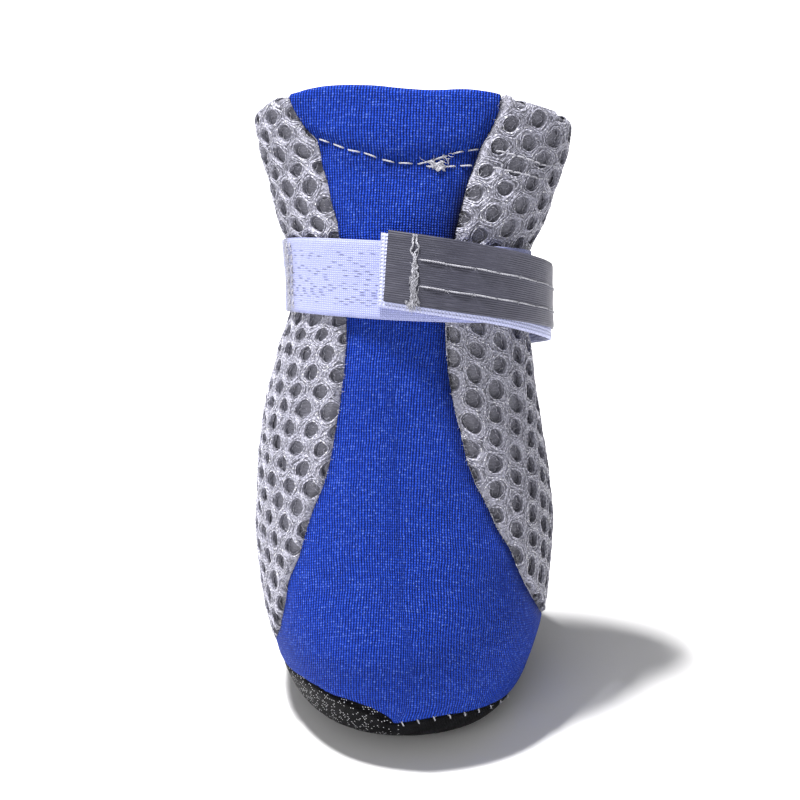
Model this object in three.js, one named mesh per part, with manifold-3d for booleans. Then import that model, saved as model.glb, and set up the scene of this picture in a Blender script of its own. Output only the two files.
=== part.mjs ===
// A soft dog boot: a hollow knit-and-mesh upper on a turned-up sole, an insole,
// and a hook-and-loop strap round the ankle with a reflective strip on its tab.
// Millimetres. The toe points to -Y, +X is the right side seen from the toe, +Z is up.
// The origin is under the middle of the sole, on the ground.
import * as THREE from 'three';
import { mergeVertices } from 'three/addons/utils/BufferGeometryUtils.js';
import Module from 'manifold-3d';

const wasm = await Module();
wasm.setup();

// Driving dimensions of the last.
const LENGTH = 70;
const BALL_WIDTH = 60;
const SHAFT_HEIGHT = 118;

// Upper.
const WALL = 2.4;
const HEM_EXTRA = 0.7;
const HEM_DEPTH = 13;
const COLLAR_DROP = 3.8;
const COLLAR_POWER = 4;
const FOLD_START = 0.985;
const GAP = 0.3;

// Sole: the floor of the cup, its turned-up edge, and the bars it stands on.
const SOLE_FLOOR = 2.6;
const CUP_LEVELS = [2.5, 4.2];
const SOLE_EDGE = 6.6;
const EDGE_CORNER = { rise: 5.2, angle: -35, spread: 25 };
const EDGE_DIP = { rise: -2, angle: 62, spread: 16 };
const HEEL_EDGE_RISE = 1;
const LUG_HEIGHT = 1;
const LUG_SINK = 1.2;
const LUG_LENGTH = 3.2;
const LUG_PITCH = 5.2;
const LUG_MARGIN = 3.2;
const FOREFOOT_LUGS = 5;
const HEEL_LUGS = 3;
const FOREFOOT_START = -1.6;
const HEEL_START = -11;
const TOE_SPRING = 2.4;
const TOE_SPRING_START = 12;
const HEEL_SPRING = 1;
const HEEL_SPRING_START = 20;
const ARCH_LIFT = 0.8;
const ARCH_CENTRE = -6.5;
const ARCH_HALF_LENGTH = 7;
const SPRING_FADE = 30;
const TOE_CURVE = -1.6;
const TOE_CORNER = 1.9;
const TOE_CORNER_ANGLE = 42;
const TOE_CORNER_SPREAD = 26;

// Insole.
const INSOLE_THICKNESS = 1.6;
const INSOLE_MARGIN = 0.5;

// Strap: woven loop tape on the boot, hook tape over it, reflective strip on top.
const STRAP_RISE = 84.4;
const STRAP_SLOPE = -0.4;
const STRAP_BACK_DROP = 4;
const TAB_RAISE = 2.3;
const TAB_FALL = 0.044;
const RISE_PER_WIDTH = 0.9;
const TAPE_WIDTH = 15;
const TAPE_THICKNESS = 0.7;
const TAPE_START = 78;
const TAPE_END = -235;
const HOOK_WIDTH = 14.4;
const HOOK_THICKNESS = 0.7;
const STRIP_WIDTH = 13.8;
const STRIP_THICKNESS = 0.5;
const TAB_FREE_END = -7;
const TAB_TAIL_END = 148;
const TURN_STAND_OFF = 2.4;
const TURN_ANGLE = 92;
const TURN_SPREAD = 34;

// Mesh density.
const SKIN_STEPS = 56;
const SKIN_ROWS = 22;
const BAND_STEP = 6;

// Sections of the last, from the ground up. rise is a share of SHAFT_HEIGHT; mid, front and
// back are shares of LENGTH; half is a share of BALL_WIDTH; shift is in millimetres; lean is
// in degrees; squareFront and squareBack are the exponents of the section's two halves.
const SECTIONS = [
  { rise: 0.008, mid: 0.007, lean: 0, front: 0.4, back: 0.414, half: 0.342, shift: 0.5, squareFront: 1.95, squareBack: 2.2 },
  { rise: 0.025, mid: 0.007, lean: 0, front: 0.443, back: 0.45, half: 0.38, shift: 0.7, squareFront: 1.95, squareBack: 2.2 },
  { rise: 0.051, mid: 0.007, lean: 0, front: 0.471, back: 0.471, half: 0.413, shift: 0.9, squareFront: 2, squareBack: 2.2 },
  { rise: 0.102, mid: 0.007, lean: 1, front: 0.493, back: 0.486, half: 0.45, shift: 0.9, squareFront: 2.05, squareBack: 2.3 },
  { rise: 0.178, mid: 0.014, lean: 3, front: 0.493, back: 0.5, half: 0.485, shift: 0.6, squareFront: 2.1, squareBack: 2.3 },
  { rise: 0.28, mid: 0.036, lean: 8, front: 0.436, back: 0.471, half: 0.502, shift: 0.2, squareFront: 2.1, squareBack: 2.3 },
  { rise: 0.39, mid: 0.064, lean: 13, front: 0.371, back: 0.421, half: 0.49, shift: -0.3, squareFront: 2.1, squareBack: 2.2 },
  { rise: 0.5, mid: 0.093, lean: 17, front: 0.314, back: 0.364, half: 0.458, shift: -0.5, squareFront: 2.1, squareBack: 2.2 },
  { rise: 0.602, mid: 0.129, lean: 20, front: 0.286, back: 0.314, half: 0.418, shift: 0, squareFront: 2.1, squareBack: 2.2 },
  { rise: 0.65, mid: 0.146, lean: 21, front: 0.272, back: 0.295, half: 0.393, shift: 0.4, squareFront: 2.1, squareBack: 2.2 },
  { rise: 0.703, mid: 0.172, lean: 22.5, front: 0.257, back: 0.274, half: 0.383, shift: 0.6, squareFront: 2.1, squareBack: 2.2 },
  { rise: 0.763, mid: 0.202, lean: 24.5, front: 0.243, back: 0.258, half: 0.4, shift: 0.2, squareFront: 2.1, squareBack: 2.2 },
  { rise: 0.81, mid: 0.23, lean: 26, front: 0.236, back: 0.25, half: 0.443, shift: 0.3, squareFront: 2.1, squareBack: 2.2 },
  { rise: 0.856, mid: 0.257, lean: 28, front: 0.224, back: 0.24, half: 0.47, shift: 0.5, squareFront: 2.1, squareBack: 2.2 },
  { rise: 0.932, mid: 0.307, lean: 30, front: 0.207, back: 0.221, half: 0.515, shift: 0.5, squareFront: 2.1, squareBack: 2.2 },
  { rise: 1, mid: 0.357, lean: 31, front: 0.2, back: 0.214, half: 0.527, shift: 0.5, squareFront: 2.3, squareBack: 2.3 },
];

// How much one unit of each column is worth in millimetres, degrees or exponent.
const UNIT = {
  rise: SHAFT_HEIGHT, mid: LENGTH, lean: 1, front: LENGTH, back: LENGTH,
  half: BALL_WIDTH, shift: 1, squareFront: 1, squareBack: 1,
};

// One column of the section table at a height, joined smoothly from row to row.
function column(name, rise) {
  const heights = SECTIONS.map((row) => row.rise * UNIT.rise);
  const values = SECTIONS.map((row) => row[name] * UNIT[name]);
  const last = heights.length - 1;
  const slope = (k) => {
    const low = Math.max(k - 1, 0);
    const high = Math.min(k + 1, last);
    return (values[high] - values[low]) / (heights[high] - heights[low]);
  };
  let k = 0;
  while (k < last - 1 && rise > heights[k + 1]) k += 1;
  const span = heights[k + 1] - heights[k];
  const t = (rise - heights[k]) / span;
  const t2 = t * t;
  const t3 = t2 * t;
  return (2 * t3 - 3 * t2 + 1) * values[k] + (t3 - 2 * t2 + t) * span * slope(k)
    + (3 * t2 - 2 * t3) * values[k + 1] + (t3 - t2) * span * slope(k + 1);
}

// A soft bump of height 1 at a centre, gone beyond about two spreads.
const bump = (value, centre, spread) => Math.exp(-(((value - centre) / spread) ** 2));

// Lift of the sole and low upper at a distance forward of the middle: toe and heel turn up.
function spring(forward) {
  const toe = Math.max(forward - TOE_SPRING_START, 0) / (LENGTH / 2 - TOE_SPRING_START);
  const heel = Math.max(-forward - HEEL_SPRING_START, 0) / (LENGTH / 2 - HEEL_SPRING_START);
  return TOE_SPRING * toe * toe + HEEL_SPRING * heel * heel;
}

// A point of the last at a height and an angle round it, in degrees from the toe and
// positive towards +X. inset moves it inwards, and a negative inset outwards.
function skin(rise, degrees, inset = 0) {
  const angle = THREE.MathUtils.degToRad(degrees);
  const side = Math.sin(angle);
  const ahead = Math.cos(angle);
  const power = 2 / column(ahead >= 0 ? 'squareFront' : 'squareBack', rise);
  const low = Math.max(1 - rise / SPRING_FADE, 0);
  const corner = TOE_CORNER * bump(degrees, TOE_CORNER_ANGLE, TOE_CORNER_SPREAD) * low;
  const depth = column(ahead >= 0 ? 'front' : 'back', rise) + corner - inset;
  const width = column('half', rise) + corner - inset;
  const forward = depth * Math.sign(ahead) * Math.abs(ahead) ** power;
  const lean = THREE.MathUtils.degToRad(column('lean', rise));
  const y = column('mid', rise) - forward * Math.cos(lean);
  const curve = TOE_CURVE * (Math.max(-y, 0) / (LENGTH / 2)) ** 2 * low;
  const x = column('shift', rise) + width * Math.sign(side) * Math.abs(side) ** power + curve;
  const z = rise + forward * Math.sin(lean) + spring(-y) * low;
  return new THREE.Vector3(x, y, z);
}

// Height of the seam between sole and upper: it climbs at the left of the toe and dips at the
// right.
function seamRise(degrees) {
  const heel = (1 - Math.cos(THREE.MathUtils.degToRad(degrees))) / 2;
  const local = [EDGE_CORNER, EDGE_DIP].map((spot) => spot.rise * bump(degrees, spot.angle, spot.spread));
  return SOLE_EDGE + HEEL_EDGE_RISE * heel + local[0] + local[1];
}

// Height of the collar edge: highest at the front.
const collarRise = (degrees) => SHAFT_HEIGHT
  - COLLAR_DROP * Math.abs(Math.sin(THREE.MathUtils.degToRad(degrees))) ** COLLAR_POWER;

// Angles round the last, -180 up to 180 degrees, the last one left out.
const ROUND = Array.from({ length: SKIN_STEPS }, (_, k) => -180 + (360 * k) / SKIN_STEPS);

// A closed body through rings of points. Rings join in order; ends are capped with fans, or
// the last ring joins the first when looped.
function loft(rings, looped = false) {
  const count = rings[0].length;
  const points = rings.flat();
  const index = [];
  const joins = looped ? rings.length : rings.length - 1;
  for (let r = 0; r < joins; r += 1) {
    const near = r * count;
    const far = ((r + 1) % rings.length) * count;
    for (let k = 0; k < count; k += 1) {
      const next = (k + 1) % count;
      index.push(near + k, near + next, far + next, near + k, far + next, far + k);
    }
  }
  if (!looped) {
    for (const [ring, turn] of [[0, -1], [rings.length - 1, 1]]) {
      const centre = new THREE.Vector3();
      rings[ring].forEach((point) => centre.addScaledVector(point, 1 / count));
      const hub = points.push(centre) - 1;
      for (let k = 0; k < count; k += 1) {
        const edge = [ring * count + k, ring * count + ((k + 1) % count)];
        index.push(hub, ...(turn > 0 ? edge : edge.reverse()));
      }
    }
  }
  return faceOut(new THREE.BufferGeometry().setFromPoints(points), index);
}

// Sets the triangles so that they face out of the body.
function faceOut(geometry, index) {
  const place = geometry.getAttribute('position');
  const corner = (k) => new THREE.Vector3().fromBufferAttribute(place, index[k]);
  let volume = 0;
  for (let k = 0; k < index.length; k += 3) {
    volume += corner(k).dot(corner(k + 1).cross(corner(k + 2)));
  }
  geometry.setIndex(volume < 0 ? [...index].reverse() : index);
  geometry.computeVertexNormals();
  return geometry;
}

// A closed geometry as a solid for joining and cutting, and back again.
function solidOf(geometry) {
  const bare = geometry.clone();
  bare.deleteAttribute('normal');
  bare.deleteAttribute('uv');
  const merged = mergeVertices(bare, 1e-4);
  return new wasm.Manifold(new wasm.Mesh({
    numProp: 3,
    vertProperties: new Float32Array(merged.getAttribute('position').array),
    triVerts: new Uint32Array(merged.getIndex().array),
  }));
}

function geometryOf(solid) {
  const mesh = solid.getMesh();
  const geometry = new THREE.BufferGeometry();
  geometry.setAttribute('position', new THREE.BufferAttribute(mesh.vertProperties, 3));
  geometry.setIndex(new THREE.BufferAttribute(mesh.triVerts, 1));
  geometry.computeVertexNormals();
  return geometry;
}

// Wall of the upper at a height: thicker where the collar hem is folded in.
function wallAt(rise, degrees) {
  const below = (collarRise(degrees) - rise) / HEM_DEPTH;
  return WALL + (below < 1 ? HEM_EXTRA : 0);
}

// The upper: outside from the sole seam up to the collar, over the rounded fold, down inside.
function upperGeometry() {
  const rising = (share, inset) => ROUND.map((degrees) => {
    const low = seamRise(degrees) + GAP;
    const rise = low + (collarRise(degrees) - low) * share;
    return skin(rise, degrees, inset(rise, degrees));
  });
  const shares = Array.from({ length: SKIN_ROWS + 1 }, (_, k) => (FOLD_START * k) / SKIN_ROWS);
  const outside = shares.map((share) => rising(share, () => 0));
  const fold = [rising(1, (rise, degrees) => 0.5 * wallAt(rise, degrees))];
  const inside = [...shares].reverse().map((share) => rising(share, wallAt));
  return loft([...outside, ...fold, ...inside], true);
}

// A ring of the sole: at a height, or at the seam where no height is given.
const soleRing = (inset, rise) => ROUND.map((degrees) => skin(rise ?? seamRise(degrees), degrees, inset));

// A ring drawn in towards the middle of the sole, keeping to the lift of toe and heel.
const drawnIn = (ring, share) => ring.map((point) => {
  const flat = point.z - spring(-point.y);
  return new THREE.Vector3(point.x * share, point.y * share, flat + spring(-point.y * share));
});

// The arch lifts the underside between heel and forefoot.
const archLift = (y) => ARCH_LIFT * bump(-y, ARCH_CENTRE, ARCH_HALF_LENGTH);

// The cup of the sole, from the middle of its underside out, up its edge and back inside.
function soleCup() {
  const bottom = SECTIONS[0].rise * SHAFT_HEIGHT;
  const floor = bottom + SOLE_FLOOR;
  const raised = (ring) => ring.map((point) => point.setZ(point.z + archLift(point.y)));
  const underside = [0.35, 0.7].map((share) => raised(drawnIn(soleRing(0, bottom), share)));
  const top = [0.85, 0.5].map((share) => drawnIn(soleRing(WALL, floor), share));
  return loft([
    ...underside,
    raised(soleRing(0, bottom)),
    ...CUP_LEVELS.map((rise) => soleRing(0, rise)),
    soleRing(0),
    soleRing(WALL),
    soleRing(WALL, floor),
    ...top,
  ]);
}

// One bar across the underside, following the toe and heel lift, its ends inside the outline.
function lugGeometry(start, end) {
  const bottom = SECTIONS[0].rise * SHAFT_HEIGHT;
  const reach = (y) => {
    const ahead = y < 0;
    const depth = (ahead ? column('front', bottom) : column('back', bottom)) - LUG_MARGIN;
    const power = column(ahead ? 'squareFront' : 'squareBack', bottom);
    const share = 1 - (Math.abs(y - column('mid', bottom)) / depth) ** power;
    return (column('half', bottom) - LUG_MARGIN) * Math.max(share, 0) ** (1 / power);
  };
  const slices = [start, (start + end) / 2, end].map((forward) => {
    const y = -forward;
    const middle = column('shift', bottom) + TOE_CURVE * (Math.max(-y, 0) / (LENGTH / 2)) ** 2;
    const lift = spring(forward);
    const top = LUG_HEIGHT + LUG_SINK + lift;
    const corners = [[-1, lift], [1, lift], [1, top], [-1, top]];
    return corners.map(([side, z]) => new THREE.Vector3(middle + side * reach(y), y, z));
  });
  return loft(slices);
}

// The sole: the cup with bars joined under the forefoot and the heel.
function soleGeometry() {
  let sole = solidOf(soleCup());
  for (let k = 0; k < FOREFOOT_LUGS; k += 1) {
    const start = FOREFOOT_START + k * LUG_PITCH;
    sole = sole.add(solidOf(lugGeometry(start, start + LUG_LENGTH)));
  }
  for (let k = 0; k < HEEL_LUGS; k += 1) {
    const start = HEEL_START - k * LUG_PITCH;
    sole = sole.add(solidOf(lugGeometry(start - LUG_LENGTH, start)));
  }
  return geometryOf(sole);
}

// The insole: a thin pad lying on the floor of the cup.
function insoleGeometry() {
  const low = SECTIONS[0].rise * SHAFT_HEIGHT + SOLE_FLOOR + GAP;
  const high = low + INSOLE_THICKNESS;
  const level = (rise, share) => soleRing(WALL + INSOLE_MARGIN, low).map((point) => {
    const x = point.x * share;
    const y = point.y * share;
    return new THREE.Vector3(x, y, rise + spring(-y) * (1 - low / SPRING_FADE));
  });
  return loft([level(low, 0.5), level(low, 0.85), level(low, 1), level(high, 1), level(high, 0.85), level(high, 0.5)]);
}

// Height of the middle of the strap: it runs down to the right and sits lower at the back.
function strapRise(degrees) {
  const angle = THREE.MathUtils.degToRad(degrees);
  const behind = (1 - Math.cos(angle)) / 2;
  return STRAP_RISE + STRAP_SLOPE * Math.sin(angle) - STRAP_BACK_DROP * behind * behind;
}

// How far the tab lies above the middle of the tape: it crosses it, falling towards its tail.
const tabRaise = (degrees) => TAB_RAISE - TAB_FALL * degrees;

// How far the tab's loop stands off the ankle at its turn on the right.
const standOff = (degrees) => TURN_STAND_OFF * bump(degrees, TURN_ANGLE, TURN_SPREAD);

// A flat band round the ankle between two angles, from one offset outside the skin to another.
// The shaft leans, so a millimetre of the band's width is less than one of rise.
function bandGeometry({ from, to, width, inner, thickness, lift = () => 0, raise = () => 0 }) {
  const steps = Math.ceil(Math.abs(to - from) / BAND_STEP);
  const slices = Array.from({ length: steps + 1 }, (_, k) => {
    const degrees = from + ((to - from) * k) / steps;
    const off = inner + lift(degrees);
    const reach = (width / 2) * RISE_PER_WIDTH;
    const heights = [-reach, 0, reach].map((up) => strapRise(degrees) + raise(degrees) + up);
    const near = heights.map((rise) => skin(rise, degrees, -off));
    const far = heights.map((rise) => skin(rise, degrees, -off - thickness)).reverse();
    return [...near, ...far];
  });
  return loft(slices);
}

// The layers of the strap, each GAP outside the one under it.
const TAPE_INNER = GAP;
const HOOK_INNER = TAPE_INNER + TAPE_THICKNESS + GAP;
const STRIP_INNER = HOOK_INNER + HOOK_THICKNESS + GAP;

const FINISH = {
  knit: { color: 0x2a42a5, roughness: 0.75, metalness: 0 },
  rubber: { color: 0x1a1a1e, roughness: 0.85, metalness: 0 },
  liner: { color: 0x5c5f66, roughness: 0.9, metalness: 0 },
  tape: { color: 0xcdd2f5, roughness: 0.7, metalness: 0 },
  hook: { color: 0xe4e6f5, roughness: 0.6, metalness: 0 },
  reflective: { color: 0x67676f, roughness: 0.45, metalness: 0.1 },
};

function part(name, geometry, finish) {
  const mesh = new THREE.Mesh(geometry, new THREE.MeshStandardMaterial(finish));
  mesh.name = name;
  return mesh;
}

const boot = new THREE.Group();
boot.name = 'dog_boot';
boot.add(
  part('upper', upperGeometry(), FINISH.knit),
  part('sole', soleGeometry(), FINISH.rubber),
  part('insole', insoleGeometry(), FINISH.liner),
  part('strap_loop_tape', bandGeometry({
    from: TAPE_START, to: TAPE_END, width: TAPE_WIDTH, inner: TAPE_INNER, thickness: TAPE_THICKNESS,
  }), FINISH.tape),
  part('strap_hook_tape', bandGeometry({
    from: TAB_FREE_END, to: TAB_TAIL_END, width: HOOK_WIDTH, inner: HOOK_INNER, thickness: HOOK_THICKNESS,
    lift: standOff, raise: tabRaise,
  }), FINISH.hook),
  part('reflective_strip', bandGeometry({
    from: TAB_FREE_END, to: TAB_TAIL_END, width: STRIP_WIDTH, inner: STRIP_INNER, thickness: STRIP_THICKNESS,
    lift: standOff, raise: tabRaise,
  }), FINISH.reflective),
);

export default boot;
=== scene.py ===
"""A soft dog boot dressed for rendering: knit and mesh upper, turned-up sole, ankle strap."""

import logging
import math
from dataclasses import dataclass, field
from enum import Enum
from typing import Callable, Iterable, Optional, Sequence, Union

import bpy
import numpy as np
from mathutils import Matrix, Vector


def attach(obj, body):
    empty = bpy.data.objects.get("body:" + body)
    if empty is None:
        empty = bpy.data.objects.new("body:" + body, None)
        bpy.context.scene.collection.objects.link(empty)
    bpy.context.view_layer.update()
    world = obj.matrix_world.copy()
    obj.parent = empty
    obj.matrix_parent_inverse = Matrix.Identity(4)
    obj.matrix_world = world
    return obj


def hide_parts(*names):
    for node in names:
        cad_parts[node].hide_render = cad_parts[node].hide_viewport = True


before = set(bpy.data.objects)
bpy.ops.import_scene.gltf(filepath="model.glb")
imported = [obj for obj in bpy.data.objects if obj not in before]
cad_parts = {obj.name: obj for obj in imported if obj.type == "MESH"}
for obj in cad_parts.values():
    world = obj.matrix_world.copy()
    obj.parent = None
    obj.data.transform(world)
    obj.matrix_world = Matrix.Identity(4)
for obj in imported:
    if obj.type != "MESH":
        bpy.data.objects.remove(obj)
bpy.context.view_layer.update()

LOG = logging.getLogger("dog_boot")
MM = 0.001
TINY = 1e-9
SMALLEST_FACE = 1e-11
TURN = 2.0 * math.pi

Array = np.ndarray
Number = Union[float, Array]
Input = Union["Value", float]
Colour = tuple[float, float, float]
Paint = Union["Value", Colour]
Material = bpy.types.Material
Piece = bpy.types.Object
Level = tuple[float, float, float, float]
Rule = Union[float, tuple["Chance", ...]]


class Slot(Enum):
    """Material slots of the boot's pieces."""

    KNIT = "blue_knit"
    NET = "air_mesh"
    SOLE = "black_sole"
    LINING = "insole_lining"
    LOOP = "loop_tape"
    HOOK = "hook_tape"
    REFLECTIVE = "reflective_grey"
    THREAD = "thread"


class Side(Enum):
    """Which side of the toe a panel lies on."""

    LEFT = -1
    RIGHT = 1


class Chance(Enum):
    """How a number is drawn: between two, about a middle, skewed from 0 to 1, or one of a few."""

    BETWEEN = "between"
    ABOUT = "about"
    SKEWED = "skewed"
    ONE_OF = "one of"


BETWEEN, ABOUT, SKEWED, ONE_OF = Chance


def bump(value: Number, centre: float, spread: float) -> Number:
    """A soft bump, 1 at its centre and nearly gone two spreads away."""
    return np.exp(-(((value - centre) / spread) ** 2))


def ease(value: Number) -> Number:
    """Goes smoothly from 0 to 1 as the value does, and stays level outside."""
    held = np.clip(value, 0.0, 1.0)
    return held * held * (3.0 - 2.0 * held)


def blend(first: Number, final: Number, share: Number) -> Number:
    """Goes evenly from the first to the final as the share goes from 0 to 1."""
    return first + (final - first) * share


def shares(count: int) -> Array:
    """Evenly spaced numbers from 0 to 1."""
    return np.linspace(0.0, 1.0, count)


def round_about(count: int) -> Array:
    """Evenly spaced angles all round the last, from the heel."""
    return np.linspace(-180.0, 180.0, count, endpoint=False)


def even(*values: Number) -> list[Array]:
    """The values as arrays of one shape."""
    return np.broadcast_arrays(*(np.asarray(value, float) for value in values))


def join(first: Number, second: Number, third: Number = 0.0) -> Array:
    """Joins three numbers for each point into one vector for each point."""
    return np.stack(even(first, second, third), axis=-1)


def unit(vectors: Array) -> Array:
    """The same directions with length 1."""
    return vectors / (np.linalg.norm(vectors, axis=-1, keepdims=True) + TINY)


def gone(points: Array) -> Array:
    """Length from the first point of each line to every other."""
    steps = np.linalg.norm(np.diff(points, axis=-2), axis=-1)
    return np.concatenate([np.zeros((*steps.shape[:-1], 1)), np.cumsum(steps, axis=-1)], axis=-1)


def quads(rows: int, columns: int, closed: Sequence[bool] = (False, False)) -> Array:
    """Numbers the corners of a grid's faces.

    Args:
        rows: Rows of points.
        columns: Points in a row.
        closed: Whether the rows and the columns join round on themselves.

    Returns:
        Shape (faces, 4).
    """
    number = np.arange(rows * columns).reshape(rows, columns)
    for axis in (0, 1):
        if closed[axis]:
            number = np.concatenate([number, np.take(number, [0], axis=axis)], axis=axis)
    corners = (number[:-1, :-1], number[:-1, 1:], number[1:, 1:], number[1:, :-1])
    return np.stack([corner.ravel() for corner in corners], axis=1)


def ripple(across: Number, along: Number, seed: float, period: float) -> Number:
    """A gentle wandering field made of three crossing waves.

    Args:
        across: First coordinate in millimetres.
        along: Second coordinate in millimetres.
        seed: Shifts the waves.
        period: Typical wave length in millimetres.

    Returns:
        About -1 to 1.
    """
    turn = TURN / period
    first = np.sin(turn * (across + 0.37 * along) + 1.7 * seed)
    second = np.sin(turn * (0.81 * along - 0.29 * across) * 1.31 + 2.9 * seed)
    third = np.sin(turn * (0.63 * across - 0.92 * along) * 1.83 + 4.3 * seed)
    return (first + second + 0.6 * third) / 2.6


def sample(table: Array, row: Array, column: Array) -> Array:
    """Reads a table between its rows and columns.

    Args:
        table: Two-dimensional table.
        row: Fractional row numbers.
        column: Fractional column numbers.

    Returns:
        The values, joined linearly.
    """
    row = np.clip(row, 0, table.shape[0] - 1.001)
    column = np.clip(column, 0, table.shape[1] - 1.001)
    i = row.astype(int)
    j = column.astype(int)
    part = column - j
    near = table[i, j] * (1 - part) + table[i, j + 1] * part
    far = table[i + 1, j] * (1 - part) + table[i + 1, j + 1] * part
    return near * (1 - (row - i)) + far * (row - i)


@dataclass(frozen=True)
class Trace:
    """A line given as pairs of numbers, softened between them."""

    spots: tuple[tuple[float, float], ...]
    soften: float = 1.2
    taps: int = 7
    shoulder: float = 2.4

    def at(self, value: Number) -> Number:
        """Reads the second number for any first number.

        Args:
            value: Where to read the line.

        Returns:
            The softened second number.
        """
        ordered = np.array(sorted(self.spots))
        offsets = np.linspace(-1.0, 1.0, self.taps)
        weights = np.cos(offsets * math.pi / self.shoulder)
        total = 0.0
        for offset, weight in zip(offsets, weights):
            shifted = np.asarray(value) + offset * self.soften
            total = total + weight * np.interp(shifted, ordered[:, 0], ordered[:, 1])
        return total / weights.sum()


@dataclass(frozen=True)
class Last:
    """The form the boot is made on, in millimetres, toe towards -Y and +Z up."""

    length: float = 70.0
    ball_width: float = 60.0
    shaft_height: float = 118.0
    toe_spring: float = 2.4
    toe_spring_start: float = 12.0
    heel_spring: float = 1.0
    heel_spring_start: float = 20.0
    spring_fade: float = 30.0
    toe_curve: float = -1.6
    toe_corner: float = 1.9
    toe_corner_angle: float = 42.0
    toe_corner_spread: float = 26.0
    collar_drop: float = 3.8
    collar_power: float = 4.0
    collar_waves: tuple[tuple[float, float, float], ...] = (
        (4.0, 11.0, 0.65), (46.0, 20.0, 0.9), (-46.0, 10.0, 0.3), (150.0, 25.0, 0.8), (-150.0, 25.0, 0.6),
    )
    names: tuple[str, ...] = (
        "rise", "mid", "lean", "front", "back", "half", "shift", "square_front", "square_back",
    )
    sections: tuple[tuple[float, ...], ...] = (
        (0.008, 0.007, 0.0, 0.400, 0.414, 0.342, 0.5, 1.95, 2.2),
        (0.025, 0.007, 0.0, 0.443, 0.450, 0.380, 0.7, 1.95, 2.2),
        (0.051, 0.007, 0.0, 0.471, 0.471, 0.413, 0.9, 2.00, 2.2),
        (0.102, 0.007, 1.0, 0.493, 0.486, 0.450, 0.9, 2.05, 2.3),
        (0.178, 0.014, 3.0, 0.493, 0.500, 0.485, 0.6, 2.10, 2.3),
        (0.280, 0.036, 8.0, 0.436, 0.471, 0.502, 0.2, 2.10, 2.3),
        (0.390, 0.064, 13.0, 0.371, 0.421, 0.490, -0.3, 2.10, 2.2),
        (0.500, 0.093, 17.0, 0.314, 0.364, 0.458, -0.5, 2.10, 2.2),
        (0.602, 0.129, 20.0, 0.286, 0.314, 0.418, 0.0, 2.10, 2.2),
        (0.650, 0.146, 21.0, 0.272, 0.295, 0.393, 0.4, 2.10, 2.2),
        (0.703, 0.172, 22.5, 0.257, 0.274, 0.383, 0.6, 2.10, 2.2),
        (0.763, 0.202, 24.5, 0.243, 0.258, 0.400, 0.2, 2.10, 2.2),
        (0.810, 0.230, 26.0, 0.236, 0.250, 0.443, 0.3, 2.10, 2.2),
        (0.856, 0.257, 28.0, 0.224, 0.240, 0.470, 0.5, 2.10, 2.2),
        (0.932, 0.307, 30.0, 0.207, 0.221, 0.515, 0.5, 2.10, 2.2),
        (1.000, 0.357, 31.0, 0.200, 0.214, 0.527, 0.5, 2.30, 2.3),
    )

    @property
    def bottom(self) -> float:
        """Height of the lowest section."""
        return self.sections[0][0] * self.shaft_height

    def column(self, name: str, rise: Number) -> Number:
        """One column of the sections at a height, joined smoothly from row to row.

        Args:
            name: The column's name.
            rise: Height up the last.

        Returns:
            Its value in millimetres, degrees or exponent.
        """
        units = {"rise": self.shaft_height, "half": self.ball_width}
        units.update({key: self.length for key in ("mid", "front", "back")})
        rows = np.array(self.sections)
        heights = rows[:, 0] * self.shaft_height
        values = rows[:, self.names.index(name)] * units.get(name, 1.0)
        last = len(heights) - 1
        below = np.maximum(np.arange(last + 1) - 1, 0)
        above = np.minimum(np.arange(last + 1) + 1, last)
        slopes = (values[above] - values[below]) / (heights[above] - heights[below])
        k = np.clip(np.searchsorted(heights, rise) - 1, 0, last - 1)
        span = heights[k + 1] - heights[k]
        t = (rise - heights[k]) / span
        start = (2 * t**3 - 3 * t**2 + 1) * values[k] + (t**3 - 2 * t**2 + t) * span * slopes[k]
        finish = (3 * t**2 - 2 * t**3) * values[k + 1] + (t**3 - t**2) * span * slopes[k + 1]
        return start + finish

    def spring(self, forward: Number) -> Number:
        """Lift of the sole and low upper at a distance forward of the middle.

        Args:
            forward: Distance towards the toe.

        Returns:
            The lift.
        """
        half = self.length / 2
        toe = np.maximum(forward - self.toe_spring_start, 0) / (half - self.toe_spring_start)
        heel = np.maximum(-forward - self.heel_spring_start, 0) / (half - self.heel_spring_start)
        return self.toe_spring * toe**2 + self.heel_spring * heel**2

    def swing(self, y: Number) -> Number:
        """How far the toe bends sideways, from the place along the boot."""
        return self.toe_curve * (np.maximum(-y, 0) / (self.length / 2)) ** 2

    def point(self, rise: Number, degrees: Number, inset: Number = 0.0) -> Array:
        """A point of the last.

        Args:
            rise: Height up the last.
            degrees: Angle from the toe, positive towards +X.
            inset: How far inside the surface; negative is outside.

        Returns:
            Points in millimetres, shape (..., 3).
        """
        rise, degrees, inset = even(rise, degrees, inset)
        side = np.sin(np.radians(degrees))
        ahead = np.cos(np.radians(degrees))
        toe_half = ahead >= 0
        power = 2 / np.where(toe_half, self.column("square_front", rise), self.column("square_back", rise))
        low = np.maximum(1 - rise / self.spring_fade, 0)
        corner = self.toe_corner * bump(degrees, self.toe_corner_angle, self.toe_corner_spread) * low
        depth = np.where(toe_half, self.column("front", rise), self.column("back", rise)) + corner - inset
        width = self.column("half", rise) + corner - inset
        forward = depth * np.sign(ahead) * np.abs(ahead) ** power
        lean = np.radians(self.column("lean", rise))
        y = self.column("mid", rise) - forward * np.cos(lean)
        x = self.column("shift", rise) + width * np.sign(side) * np.abs(side) ** power + self.swing(y) * low
        return join(x, y, rise + forward * np.sin(lean) + self.spring(-y) * low)

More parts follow.
